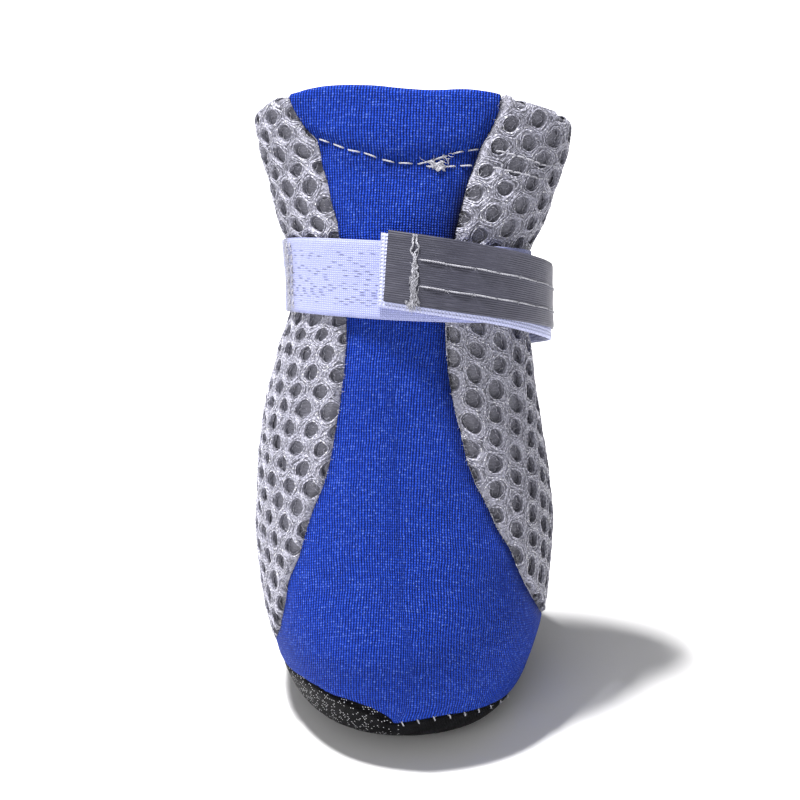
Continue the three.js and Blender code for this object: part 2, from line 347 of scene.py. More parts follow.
    def collar(self, degrees: Number) -> Number:
        """Height of the collar edge, highest at the front.

        Args:
            degrees: Angle from the toe.

        Returns:
            The height up the last.
        """
        side = np.abs(np.sin(np.radians(degrees)))
        waves = sum(drop * bump(degrees, angle, spread) for angle, spread, drop in self.collar_waves)
        return self.shaft_height - self.collar_drop * side**self.collar_power - waves

    def radian(self, rise: Array) -> Array:
        """Millimetres round the last for one degree at a height."""
        return self.column("half", np.clip(rise, 1, self.shaft_height - 1)) * math.pi / 180.0


@dataclass
class Wrap:
    """Cloth laid on the last: up the outside, over the rolled collar and down inside.

    A distance along the cloth is in millimetres from the ground, up the side of the last.
    """

    last: Last
    rim: float = 1.55
    inside: float = 11.0
    step: float = 0.5
    rises: Array = field(init=False)
    climb: Array = field(init=False)

    def __post_init__(self) -> None:
        """Measures the way up the side of the last."""
        self.rises = np.arange(0.0, self.last.shaft_height + self.step, self.step)
        self.climb = gone(self.last.point(self.rises, 90.0))

    def way(self, rise: Number) -> Number:
        """Distance along the cloth for a height on the outside."""
        return np.interp(rise, self.rises, self.climb)

    def rise(self, way: Number) -> Number:
        """Height on the outside for a distance along the cloth, up to the top of the last."""
        return np.interp(way, self.climb, self.rises)

    def fold(self, degrees: Number) -> Number:
        """Distance along the cloth at which the rolled rim begins."""
        return self.way(self.last.collar(degrees) - self.rim)

    def over(self, way: Number, degrees: Number) -> Number:
        """Distance past the crown of the rolled rim."""
        return way - self.fold(degrees) - math.pi / 2 * self.rim

    def end(self, degrees: Number) -> Number:
        """Distance along the cloth at which it ends inside the collar."""
        return self.fold(degrees) + math.pi * self.rim + self.inside

    def place(self, way: Number, degrees: Number, depth: Number = 0.0) -> Array:
        """A point of the cloth.

        Args:
            way: Distance along the cloth.
            degrees: Angle from the toe.
            depth: How far below the cloth's face.

        Returns:
            Points in millimetres, shape (..., 3).
        """
        way, degrees, depth = even(way, degrees, depth)
        start = self.fold(degrees)
        turn = np.clip((way - start) / self.rim, 0.0, math.pi)
        radius = self.rim - depth
        base = np.where(way < start, self.rise(way), self.last.collar(degrees) - self.rim)
        down = np.maximum(way - start - math.pi * self.rim, 0.0)
        rise = base + radius * np.sin(turn) - down
        return self.last.point(rise, degrees, self.rim - radius * np.cos(turn))


@dataclass
class Chart:
    """Flat millimetres on one side of the last, measured round it from its widest line.

    Angles are from the toe and without their sign; millimetres are positive towards the heel.
    """

    wrap: Wrap
    side: Side
    reach: float = 90.0
    step: float = 0.5
    around: Array = field(init=False)
    angles: Array = field(init=False)

    def __post_init__(self) -> None:
        """Measures every height round the last, and the way back from millimetres."""
        degrees = np.arange(0.0, 181.0)
        length = gone(self.wrap.last.point(self.wrap.rises[:, None], self.side.value * degrees[None, :]))
        self.around = length - length[:, 90:91]
        spread = np.arange(-self.reach, self.reach + self.step, self.step)
        self.angles = np.array([np.interp(spread, row, degrees) for row in self.around])

    def across(self, rise: Number, degrees: Number) -> Array:
        """Millimetres from the widest line, at a height and an angle."""
        rise, degrees = even(rise, degrees)
        return sample(self.around, rise / self.wrap.step, degrees)

    def degrees(self, rise: Number, across: Number) -> Array:
        """The angle at a height and a number of millimetres from the widest line."""
        rise, across = even(rise, across)
        return sample(self.angles, rise / self.wrap.step, (across + self.reach) / self.step)


@dataclass
class Cloth:
    """Vertices, faces and per-vertex vectors gathered for one mesh, in millimetres."""

    name: str
    points: list[Array] = field(default_factory=list)
    faces: list[Array] = field(default_factory=list)
    kinds: list[Array] = field(default_factory=list)
    values: dict[str, list[Array]] = field(default_factory=dict)
    count: int = 0

    def number(self, faces: Array, kind: int) -> None:
        """Adds faces whose points are numbered for the whole mesh, with a material number."""
        self.faces.append(faces)
        self.kinds.append(np.full(len(faces), kind))

    def add(self, points: Array, faces: Array, kind: int = 0, **values: Array) -> None:
        """Adds points, and faces that number them from 0.

        Args:
            points: Shape (..., 3).
            faces: Shape (n, 4).
            kind: Material number of these faces.
            **values: Named vectors for each point.
        """
        flat = points.reshape(-1, 3)
        self.points.append(flat)
        self.number(faces + self.count, kind)
        for key, value in values.items():
            self.values.setdefault(key, []).append(value.reshape(-1, 3))
        self.count += len(flat)

    def tubular(self, points: Array, kind: int = 0, **values: Array) -> None:
        """Adds a grid of points, shape (rows, columns, 3), whose rows close on themselves."""
        self.add(points, quads(*points.shape[:2], (False, True)), kind, **values)

    def shell(self, outer: Array, inner: Array, weave: Array, wrapped: bool = False,
              kinds: tuple[int, int] = (0, 0)) -> None:
        """Adds a closed shell between two grids of the same shape.

        Args:
            outer: Outer points, shape (rows, columns, 3).
            inner: Inner points.
            weave: A vector for each outer point, used inside as well.
            wrapped: Whether the rows close on themselves.
            kinds: Material numbers of the outer and inner faces.
        """
        rows, columns = outer.shape[:2]
        inside = rows * columns
        number = np.arange(inside).reshape(rows, columns)
        sheet = quads(rows, columns, (False, wrapped))
        borders = [number[0], number[-1][::-1]]
        if wrapped:
            borders = [np.append(border, border[0]) for border in borders]
        else:
            borders += [number[:, -1], number[::-1, 0]]
        edges = [np.stack([b[1:], b[:-1], b[:-1] + inside, b[1:] + inside], axis=1) for b in borders]
        both = np.concatenate([weave.reshape(-1, 3)] * 2)
        self.add(np.concatenate([outer, inner]), np.concatenate([sheet, *edges]), kinds[0], weave=both)
        self.number(sheet[:, ::-1] + self.count - inside, kinds[1])

    def tube(self, path: Array, radius: Array, sides: int, weave: Array) -> None:
        """Adds a round tube along a path.

        Args:
            path: Points along its middle, shape (n, 3).
            radius: Its radius at each point.
            sides: Sides of its section.
            weave: A vector for each point of the path.
        """
        along = unit(np.gradient(path, axis=0))
        across = unit(np.cross(along, (0.31, -0.52, 0.79)))
        other = np.cross(along, across)
        turn = np.linspace(0, TURN, sides, endpoint=False)[None, :, None]
        ring = across[:, None] * np.cos(turn) + other[:, None] * np.sin(turn)
        weave = np.repeat(weave[:, None], sides, axis=1)
        self.tubular(path[:, None] + radius[:, None, None] * ring, weave=weave)

    def build(self, finishes: Sequence[Material], slot: Slot, nodes: Sequence[str] = (),
              crease: Optional[float] = None) -> Piece:
        """Makes the object, gives it its finishes and fixes it to the boot.

        Args:
            finishes: Materials in the order of the faces' numbers.
            slot: The material slot meant for the piece; not used.
            nodes: CAD nodes that it stands for.
            crease: Angle in degrees above which an edge stays sharp.

        Returns:
            The object.
        """
        mesh = bpy.data.meshes.new(self.name)
        points = np.concatenate(self.points) * MM
        faces = np.concatenate(self.faces)
        corner = points[faces]
        first, second, third = (corner[:, k] - corner[:, 0] for k in (1, 2, 3))
        size = np.linalg.norm(np.cross(second, third - first), axis=1)
        half = np.linalg.norm(np.cross(first, second), axis=1)
        keep = np.maximum(size, half) > SMALLEST_FACE
        faces = faces[keep]
        mesh.vertices.add(len(points))
        mesh.vertices.foreach_set("co", points.ravel().astype(np.float32))
        mesh.loops.add(faces.size)
        mesh.loops.foreach_set("vertex_index", faces.ravel().astype(np.int32))
        mesh.polygons.add(len(faces))
        mesh.polygons.foreach_set("loop_start", np.arange(0, faces.size, 4, dtype=np.int32))
        mesh.polygons.foreach_set("material_index", np.concatenate(self.kinds)[keep].astype(np.int32))
        mesh.polygons.foreach_set("use_smooth", np.ones(len(faces), bool))
        for key, parts in self.values.items():
            holder = mesh.attributes.new(key, "FLOAT_VECTOR", "POINT")
            holder.data.foreach_set("vector", np.concatenate(parts).ravel().astype(np.float32))
        mesh.update(calc_edges=True)
        mesh.validate()
        if crease is not None:
            mesh.set_sharp_from_angle(angle=math.radians(crease))
        piece = bpy.data.objects.new(self.name, mesh)
        bpy.context.scene.collection.objects.link(piece)
        for finish in finishes:
            mesh.materials.append(finish)
        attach(piece, "root")
        if nodes:
            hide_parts(*nodes)
        LOG.info("%s: %d faces", self.name, len(faces))
        return piece


class Value:
    """A socket of a node tree that can be added, multiplied and so on."""

    def __init__(self, graph: "Graph", socket: bpy.types.NodeSocket) -> None:
        """Wraps an output socket of a tree."""
        self.graph = graph
        self.socket = socket

    def math(self, operation: str, *others: Input) -> "Value":
        """Adds a Math node with this value first."""
        return self.graph.math(operation, self, *others)

    def __add__(self, other: Input) -> "Value":
        """This plus the other."""
        return self.math("ADD", other)

    def __radd__(self, other: float) -> "Value":
        """The other plus this."""
        return self.graph.math("ADD", other, self)

    def __sub__(self, other: Input) -> "Value":
        """This minus the other."""
        return self.math("SUBTRACT", other)

    def __rsub__(self, other: float) -> "Value":
        """The other minus this."""
        return self.graph.math("SUBTRACT", other, self)

    def __mul__(self, other: Input) -> "Value":
        """This times the other."""
        return self.math("MULTIPLY", other)

    def __rmul__(self, other: float) -> "Value":
        """The other times this."""
        return self.graph.math("MULTIPLY", other, self)

    def __truediv__(self, other: Input) -> "Value":
        """This divided by the other."""
        return self.math("DIVIDE", other)

    def __pow__(self, other: Input) -> "Value":
        """This to the power of the other."""
        return self.math("POWER", other)

    def wave(self, period: float) -> "Value":
        """A smooth wave from 0 to 1, and 1 at every whole number of periods."""
        return (self * (TURN / period)).math("COSINE") * 0.5 + 0.5

    def cell(self, period: float) -> "Value":
        """The number of the wave that the value lies on."""
        return (self / period).math("ROUND")

    def between(self, low: float, high: float) -> "Value":
        """Goes smoothly from 0 to 1 as the value goes from low to high.

        Args:
            low: Where it is 0.
            high: Where it is 1.

        Returns:
            The eased value.
        """
        sockets = {"Value": self, "From Min": low, "From Max": high}
        return self.graph.output("ShaderNodeMapRange", {"interpolation_type": "SMOOTHSTEP"}, sockets)


class Graph:
    """A material's node tree with a short way to add to it."""

    mix_colours = (6, 7)
    mix_result = 2

    def __init__(self, name: str) -> None:
        """Starts an empty material with this name."""
        self.material = bpy.data.materials.new(name)
        self.material.use_nodes = True
        self.tree = self.material.node_tree
        self.tree.nodes.clear()

    def node(self, kind: str, settings: Optional[dict] = None,
             sockets: Optional[dict] = None) -> bpy.types.Node:
        """Adds any node: settings first, then its sockets.

        Args:
            kind: The node's type.
            settings: Properties of the node.
            sockets: Values or links for its inputs, by name or number.

        Returns:
            The node.
        """
        node = self.tree.nodes.new(kind)
        for key, value in (settings or {}).items():
            setattr(node, key, value)
        for key, value in (sockets or {}).items():
            socket = node.inputs[key]
            if isinstance(value, Value):
                self.tree.links.new(value.socket, socket)
            elif socket.type == "RGBA" and len(value) == 3:
                socket.default_value = (*value, 1.0)
            else:
                socket.default_value = value
        return node

    def output(self, kind: str, settings: Optional[dict], sockets: Optional[dict],
               result: Union[int, str] = 0) -> Value:
        """Adds any node, as above, and returns its output of this name or number."""
        return Value(self, self.node(kind, settings, sockets).outputs[result])

    def math(self, operation: str, *inputs: Input) -> Value:
        """Adds a Math node."""
        return self.output("ShaderNodeMath", {"operation": operation}, dict(enumerate(inputs)))

    def attribute(self, name: str) -> tuple[Value, Value, Value]:
        """Reads a per-vertex vector of the mesh.

        Args:
            name: The attribute's name.

        Returns:
            Its three parts.
        """
        source = self.output("ShaderNodeAttribute", {"attribute_name": name}, None, "Vector")
        parts = self.node("ShaderNodeSeparateXYZ", None, {0: source})
        return tuple(Value(self, part) for part in parts.outputs)

    def vector(self, x: Input, y: Input, z: Input = 0.0) -> Value:
        """Joins three numbers."""
        return self.output("ShaderNodeCombineXYZ", None, {0: x, 1: y, 2: z})

    def noise(self, place: Value, scale: float = 1.0, detail: float = 2.0, w: Input = 0.0) -> Value:
        """Smooth noise.

        Args:
            place: Where to read it.
            scale: How fast it changes.
            detail: How many finer layers it has.
            w: Fourth coordinate, for another pattern at the same place.

        Returns:
            About 0.2 to 0.8, 0.5 on average.
        """
        sockets = {"Vector": place, "W": w, "Scale": scale, "Detail": detail}
        return self.output("ShaderNodeTexNoise", {"noise_dimensions": "4D"}, sockets, "Fac")

    def speckle(self, place: Value) -> Value:
        """A random number from 0 to 1 for each place."""
        return self.output("ShaderNodeTexWhiteNoise", {"noise_dimensions": "3D"}, {"Vector": place}, "Value")

    def mix(self, share: Input, first: Paint, second: Paint) -> Value:
        """Mixes two colours.

        Args:
            share: 0 for the first, 1 for the second.
            first: A colour.
            second: A colour.

        Returns:
            The mixed colour.
        """
        sockets = {"Factor": share, **dict(zip(self.mix_colours, (first, second)))}
        return self.output("ShaderNodeMix", {"data_type": "RGBA"}, sockets, self.mix_result)

    def finish(self, colour: Paint, roughness: Input, height: Optional[Value] = None, deep: float = 0.0,
               **others: float) -> Material:
        """Ends the tree with a Principled shader.

        Args:
            colour: Base colour.
            roughness: Roughness.
            height: Relief of the surface, about 0 to 1.
            deep: Millimetres that a height of 1 stands for.
            **others: Other inputs, with _ for a space in the name.

        Returns:
            The material.
        """
        sockets = {"Base Color": colour, "Roughness": roughness}
        if height is not None:
            relief = {"Height": height, "Distance": deep * MM, "Strength": 1.0}
            sockets["Normal"] = self.output("ShaderNodeBump", None, relief)
        sockets.update({key.replace("_", " "): value for key, value in others.items()})
        self.node("ShaderNodeOutputMaterial", None,
                  {"Surface": self.output("ShaderNodeBsdfPrincipled", None, sockets)})
        return self.material


@dataclass(frozen=True)
class KnitFinish:
    """Blue stretch knit: upright ribs of small stitches, with painted glints as small bright spots and
    painted shade from the panel.
    """

    wale: float = 0.58
    course: float = 0.50
    groove: Colour = (0.0010, 0.0045, 0.055)
    face: Colour = (0.0180, 0.082, 0.70)
    # Colour of the painted glints.
    painted_glint: Colour = (0.24, 0.40, 1.0)
    shadow: Colour = (0.0006, 0.003, 0.035)

    def material(self) -> Material:
        """Makes the material.

        Returns:
            The material.
        """
        graph = Graph("knit")
        across, along, shade = graph.attribute("weave")
        place = graph.vector(across, along)
        drift = graph.noise(place, 0.4) - 0.5
        across = across + drift * 0.45
        along = along + drift * 0.6
        rib = across.wave(self.wale)
        stitch = (along + rib * 0.12).wave(self.course)
        height = rib ** 0.9 * (stitch * 0.5 + 0.5)
        chance = graph.speckle(graph.vector(across.cell(self.wale), along.cell(self.course)))
        patch = graph.noise(place, 0.25)
        fine = graph.noise(graph.vector(across * 3.0, along * 5.0))
        # Painted glints: bright spots on some stitches and a fine sparkle, mixed in as a pale blue.
        spark = graph.noise(graph.vector(across * 3.4, along * 2.2), 1.0, 1.0).between(0.60, 0.72)
        bright = (chance + patch * 0.5).between(0.92, 1.35) * stitch * rib * fine.between(0.35, 0.7)
        bright = bright.math("MAXIMUM", spark * (stitch * 0.3 + 0.15))
        tone = height + fine * 0.65 + chance * 0.18 - 0.36
        colour = graph.mix(bright, graph.mix(tone, self.groove, self.face), self.painted_glint)
        relief = height + fine * 0.5 + chance * 0.15
        return graph.finish(graph.mix(shade, colour, self.shadow), 0.7, relief, 0.32, Specular_IOR_Level=0.1)


@dataclass(frozen=True)
class NetFinish:
    """Silver spacer mesh: fine yarns that bend round its holes, with white glints."""

    deep: Colour = (0.110, 0.110, 0.140)
    face: Colour = (0.370, 0.370, 0.452)
    wall: Colour = (0.19, 0.19, 0.235)
    yarn_dark: Colour = (0.20, 0.20, 0.255)
    yarn_light: Colour = (0.52, 0.52, 0.63)
    glint: Colour = (1.0, 1.0, 1.0)

    def material(self) -> Material:
        """Makes the material of the mesh's ground.

        Returns:
            The material.
        """
        graph = Graph("net")
        away, chance, _ = graph.attribute("cell")
        ring_x, ring_y, _ = graph.attribute("ring")
        across, along, _ = graph.attribute("weave")
        place = graph.vector(across, along)
        warped = away + (graph.noise(place, 1.1) - 0.5) * 1.3
        turned = graph.vector(warped * 2.6, ring_x * 1.6, ring_y * 1.6)
        streak = graph.noise(turned, 1.0, 3.0, chance * 37.0)
        height = streak.between(0.32, 0.66) * 0.7 + graph.noise(place, 3.6, 3.0) * 0.6
        base = graph.mix(height.between(0.25, 1.0), self.deep, self.face)
        shine = graph.noise(place, 6.5, 1.0).between(0.62, 0.70)
        lit = graph.mix(shine * 0.6, base, self.glint)
        colour = graph.mix(away.between(-0.9, 0.1), self.wall, lit)
        return graph.finish(colour, 0.45, height, 0.4, Specular_IOR_Level=0.5)

    def yarn(self) -> Material:
        """Makes the material of the yarns lying over it.

        Returns:
            The material.
        """
        graph = Graph("net_yarn")
        along, chance, _ = graph.attribute("weave")
        twist = (along + chance * 3.0).wave(0.85)
        lay = graph.noise(graph.vector(along * 1.7, chance * 40.0), 1.0, 3.0)
        height = twist * 0.5 + lay * 0.8
        base = graph.mix(height.between(0.25, 0.95), self.yarn_dark, self.yarn_light)
        shine = graph.noise(graph.vector(along * 2.6, chance * 90.0), 1.0, 1.0).between(0.60, 0.68)
        return graph.finish(graph.mix(shine, base, self.glint), 0.36, height, 0.1, Specular_IOR_Level=0.7)


@dataclass(frozen=True)
class BackingFinish:
    """Dark knitted layer seen through the holes of the mesh, with faint level lines."""

    dark: Colour = (0.16, 0.16, 0.195)
    light: Colour = (0.32, 0.32, 0.385)
    glint: Colour = (0.9, 0.9, 0.95)

    def material(self) -> Material:
        """Makes the material.

        Returns:
            The material.
        """
        graph = Graph("backing")
        across, along, _ = graph.attribute("weave")
        cloud = graph.noise(graph.vector(across * 0.9, along * 1.9), 1.0, 3.0)
        height = (along + cloud * 2.2).wave(0.62) * 0.2 + cloud
        base = graph.mix(height.between(0.35, 1.15), self.dark, self.light)
        shine = graph.noise(graph.vector(across, along), 4.0).between(0.64, 0.70)
        return graph.finish(graph.mix(shine * 0.7, base, self.glint), 0.55, height, 0.3)


@dataclass(frozen=True)
class LiningFinish:
    """Plain woven grey lining and insole top."""

    thread: float = 0.6
    dark: Colour = (0.075, 0.078, 0.088)
    light: Colour = (0.20, 0.205, 0.225)

    def material(self, name: str) -> Material:
        """Makes the material.

        Args:
            name: The material's name.

        Returns:
            The material.
        """
        graph = Graph(name)
        across, along, _ = graph.attribute("weave")
        over = across.wave(self.thread) * (along + self.thread / 2).wave(self.thread)
        under = (across + self.thread / 2).wave(self.thread) * along.wave(self.thread)
        height = over.math("MAXIMUM", under)
        cloud = graph.noise(graph.vector(across, along), 0.35, 3.0)
        colour = graph.mix(height * 0.7 + cloud * 0.5, self.dark, self.light)
        return graph.finish(colour, 0.85, height, 0.12, Sheen_Weight=0.2)


@dataclass(frozen=True)
class SoleFinish:
    """Black coated cloth with a fine grain and painted glints as small pale spots."""

    grain: float = 0.52
    black: Colour = (0.0016, 0.0016, 0.0022)
    grey: Colour = (0.0060, 0.0060, 0.0078)
    # Colour of the painted glints.
    painted_glint: Colour = (0.85, 0.85, 0.88)

    def material(self, name: str, glint_amount: float) -> Material:
        """Makes the material.

        Args:
            name: The material's name.
            glint_amount: Share of the grain that is pale.

        Returns:
            The material.
        """
        graph = Graph(name)
        across, along, amount = graph.attribute("weave")
        skew = across + along * 0.5
        height = skew.wave(self.grain) * along.wave(self.grain * 0.8)
        chance = graph.speckle(graph.vector(skew.cell(self.grain), along.cell(self.grain * 0.8)))
        cloud = graph.noise(graph.vector(across, along), 0.4, 3.0)
        # Painted glints: pale, less rough spots on the grain, as many as the share and the third part of
        # weave allow.
        pale = (chance + amount * 0.06).between(1.0 - glint_amount, 1.04 - glint_amount) * height.between(0.45, 0.8)
        colour = graph.mix(pale, graph.mix(cloud.between(0.35, 0.7), self.black, self.grey), self.painted_glint)
        return graph.finish(colour, 0.6 - pale * 0.25, height + cloud * 0.4, 0.2, Specular_IOR_Level=0.08)


@dataclass(frozen=True)
class LoopFinish:
    """White woven loop tape: plain borders and a middle with short dark dashes."""

    thread: float = 0.42
    row: float = 0.50
    dash: float = 2.3
    border: float = 5.4
    white: Colour = (0.45, 0.48, 0.79)
    shade: Colour = (0.26, 0.29, 0.56)
    dark: Colour = (0.11, 0.12, 0.24)
    dirt: Colour = (0.16, 0.16, 0.19)

    def material(self) -> Material:
        """Makes the material.

        Returns:
            The material.
        """
        graph = Graph("loop_tape")
        along, across, dirt = graph.attribute("weave")
        checks = along.wave(self.thread) * across.wave(self.thread)
        line = across.cell(self.row)
        part = (along + graph.speckle(graph.vector(line, 3.0)) * self.dash) / self.dash
        chance = graph.speckle(graph.vector(line, part.math("FLOOR"), 5.0))
        inside = part.math("FRACT").between(0.0, 0.15) * (1.0 - part.math("FRACT").between(0.32, 0.6))
        thin = 1.0 - (across / self.row - line).math("ABSOLUTE").between(0.08, 0.42)
        middle = 1.0 - across.math("ABSOLUTE").between(self.border - 0.6, self.border)
        often = (chance + along.between(-14.0, 4.0) * 0.35).between(0.4, 0.8)
        fuzz = graph.noise(graph.vector(along * 0.8, across * 3.0), 2.2, 3.0)
        dashes = inside * thin * middle * often * fuzz.between(0.3, 0.55)
        height = checks * 0.6 + fuzz * 0.6 - dashes * 0.9
        base = graph.mix(height.between(0.1, 0.75), self.shade, self.white)
        marked = graph.mix(dashes * 0.8, base, self.dark)
        colour = graph.mix(dirt * fuzz.between(0.25, 0.52) * 0.85, marked, self.dirt)
        return graph.finish(colour, 0.6, height, 0.16, Sheen_Weight=0.1)


@dataclass(frozen=True)
class HookFinish:
    """White moulded hook tape: a grid of tiny hooks."""

    pitch: float = 0.7
    white: Colour = (0.62, 0.65, 0.90)
    shade: Colour = (0.42, 0.45, 0.72)

    def material(self) -> Material:
        """Makes the material.

        Returns:
            The material.
        """
        graph = Graph("hook_tape")
        along, across, _ = graph.attribute("weave")
        height = along.wave(self.pitch) * across.wave(self.pitch)
        cloud = graph.noise(graph.vector(along, across), 1.5)
        colour = graph.mix(height * 0.7 + cloud * 0.5, self.shade, self.white)
        return graph.finish(colour, 0.5, height + cloud * 0.3, 0.2)


@dataclass(frozen=True)
class ReflectiveFinish:
    """Grey reflective strip with fine ribs along it, lighter streaks, and a painted highlight on its right
    part.
    """

    rib: float = 0.42
    dark: Colour = (0.035, 0.035, 0.053)
    face: Colour = (0.051, 0.051, 0.077)
    # Colour of the painted highlight, also used for the lighter streaks.
    bright: Colour = (0.155, 0.155, 0.205)
    dust: Colour = (0.5, 0.5, 0.52)

    def material(self) -> Material:
        """Makes the material.

        Returns:
            The material.
        """
        graph = Graph("reflective")
        along, across, _ = graph.attribute("weave")
        wander = graph.noise(graph.vector(along * 0.12, across * 1.4)) - 0.5
        rib = (across + wander * 0.15).wave(self.rib)
        streak = graph.noise(graph.vector(along * 0.25, across * 4.0), 1.0, 3.0)
        dust = graph.noise(graph.vector(along, across), 9.0).between(0.66, 0.72)
        ribbed = graph.mix(rib.between(0.1, 0.9), self.dark, self.face)
        # Painted highlight: the strip turns lighter from 6 to 34 mm along, towards the tab on the right.
        base = graph.mix(along.between(6.0, 34.0) * 0.6, ribbed, self.bright)
        streaked = graph.mix(streak.between(0.45, 0.8) * 0.5, base, self.bright)
        colour = graph.mix(dust * 0.35, streaked, self.dust)
        return graph.finish(colour, 0.48, rib * 0.8 + streak * 0.3, 0.08, Specular_IOR_Level=0.35)


@dataclass(frozen=True)
class ThreadFinish:
    """Light grey sewing thread."""

    dark: Colour = (0.22, 0.22, 0.26)
    light: Colour = (0.56, 0.56, 0.62)

    def material(self) -> Material:
        """Makes the material.

        Returns:
            The material.
        """
        graph = Graph("thread")
        across, along, _ = graph.attribute("weave")
        lay = graph.noise(graph.vector(across * 3.0, along * 3.0), 2.0, 3.0)
        colour = graph.mix(lay.between(0.3, 0.68), self.dark, self.light)
        return graph.finish(colour, 0.55, lay, 0.05, Sheen_Weight=0.2)


@dataclass(frozen=True)
class FloorFinish:
    """Plain pale studio floor."""

    pale: Colour = (0.86, 0.86, 0.87)
    cloudy: Colour = (0.84, 0.84, 0.85)

    def material(self) -> Material:
        """Makes the material.

        Returns:
            The material.
        """
        graph = Graph("floor")
        cloud = graph.noise(graph.output("ShaderNodeTexCoord", None, None, "Object"), 3.0)
        return graph.finish(graph.mix(cloud, self.pale, self.cloudy), 0.9)


@dataclass(frozen=True)
class Seams:
    """The seams of the boot as (height, angle) pairs, or (angle, height) for those round it."""

    left: Trace = Trace((
        (5.0, -100.0), (10.0, -76.0), (19.5, -55.5), (26.0, -48.5), (30.0, -46.0), (34.5, -39.5),
        (39.0, -36.0), (42.5, -33.0), (47.5, -28.0), (52.0, -25.5), (56.5, -24.5), (61.5, -23.5),
        (67.0, -23.5), (72.5, -25.0), (77.0, -28.0), (84.0, -31.0), (91.0, -31.0), (94.5, -30.0),
        (97.5, -32.0), (101.5, -33.5), (104.5, -35.5), (108.0, -35.5), (109.0, -38.0),
        (111.5, -42.5), (114.5, -46.0), (118.0, -49.0),
    ))
    right: Trace = Trace((
        (5.0, 106.0), (12.0, 95.0), (20.0, 76.0), (29.0, 58.5), (33.5, 52.0), (35.5, 50.0), (40.0, 42.5),
        (44.0, 38.5), (48.5, 32.5), (53.0, 29.0), (58.0, 27.0), (62.0, 24.5), (68.0, 22.0),
        (72.5, 21.0), (78.0, 20.5), (85.0, 23.0), (93.5, 23.0), (97.5, 23.5), (102.0, 24.5),
        (105.0, 26.5), (108.0, 28.0), (110.5, 30.0), (113.5, 31.5), (118.0, 31.5),
    ))
    toe: Trace = Trace((
        (-180.0, 7.6), (-120.0, 7.6), (-95.0, 8.0), (-75.0, 9.2), (-54.5, 10.6), (-45.0, 11.6),
        (-35.0, 11.9), (-28.5, 11.5), (-19.5, 10.7), (-11.5, 9.4), (-5.0, 8.2), (-1.5, 6.7),
        (2.0, 6.6), (5.5, 7.0), (18.0, 8.0), (27.5, 8.0), (38.5, 7.4), (48.0, 6.6), (58.0, 5.4),
        (70.0, 5.2), (90.0, 6.3), (120.0, 7.2), (180.0, 7.6),
    ), 1.5)
    hem: Trace = Trace((
        (-60.0, 108.6), (-35.0, 108.5), (-28.0, 107.5), (-22.0, 106.5), (-15.5, 106.0), (-9.5, 105.0),
        (-4.5, 104.5), (4.0, 104.4), (10.5, 105.4), (17.0, 106.5), (21.5, 107.0), (28.0, 107.5),
        (40.0, 106.8), (60.0, 105.4),
    ), 1.5)
    hem_second: Trace = Trace((
        (4.0, 104.2), (8.0, 104.0), (14.0, 104.1), (24.0, 104.5), (28.0, 104.6), (40.0, 103.9), (60.0, 103.0),
    ), 1.5)


@dataclass(frozen=True)
class Crease:
    """A soft trough, or a ridge if its depth is negative, drawn on the last."""

    rise: float
    degrees: float
    long: float
    wide: float
    tilt: float
    depth: float
    radius: float = 24.0

    def depth_at(self, rise: Number, degrees: Number) -> Number:
        """How deep it is at a place.

        Args:
            rise: Height up the last.
            degrees: Angle from the toe.

        Returns:
            Depth in millimetres.
        """
        side = np.radians(degrees - self.degrees) * self.radius
        up = rise - self.rise
        turn = math.radians(self.tilt)
        along = side * math.cos(turn) + up * math.sin(turn)
        across = up * math.cos(turn) - side * math.sin(turn)
        return self.depth * bump(along, 0.0, self.long) * bump(across, 0.0, self.wide)


CREASES = tuple(Crease(*sizes) for sizes in (
    (104.0, 12.0, 12.0, 2.8, 6.0, 0.85),
    (93.0, 19.0, 10.0, 4.6, 88.0, 0.8),
    (99.0, 8.0, 8.0, 2.4, -34.0, 0.45),
    (97.0, 14.0, 9.0, 2.4, 78.0, 0.45),
    (110.5, -12.0, 11.0, 4.0, 0.0, -0.6),
    (70.5, 2.0, 13.0, 3.6, -24.0, 0.75),
    (14.0, 4.0, 8.0, 2.4, 84.0, -0.35),
    (21.0, -34.0, 14.0, 3.4, 28.0, 0.30),
    (16.0, 44.0, 12.0, 3.2, -24.0, 0.25),
    (50.0, 70.0, 14.0, 3.0, 20.0, 0.35),
    (40.0, -85.0, 16.0, 3.4, -18.0, 0.35),
    (104.5, -45.0, 6.0, 1.3, 16.0, 0.8),
    (66.0, 120.0, 12.0, 3.0, 8.0, 0.5),
    (66.0, -130.0, 12.0, 3.0, -8.0, 0.5),
    (34.0, 150.0, 15.0, 4.0, 12.0, 0.4),
))


@dataclass
class Body:
    """What every piece of the boot is laid on."""

    last: Last
    wrap: Wrap
    seams: Seams
    creases: tuple[Crease, ...]

    def creased(self, rise: Number, degrees: Number) -> Number:
        """Depth of all creases at a height and an angle."""
        return sum(crease.depth_at(rise, degrees) for crease in self.creases)


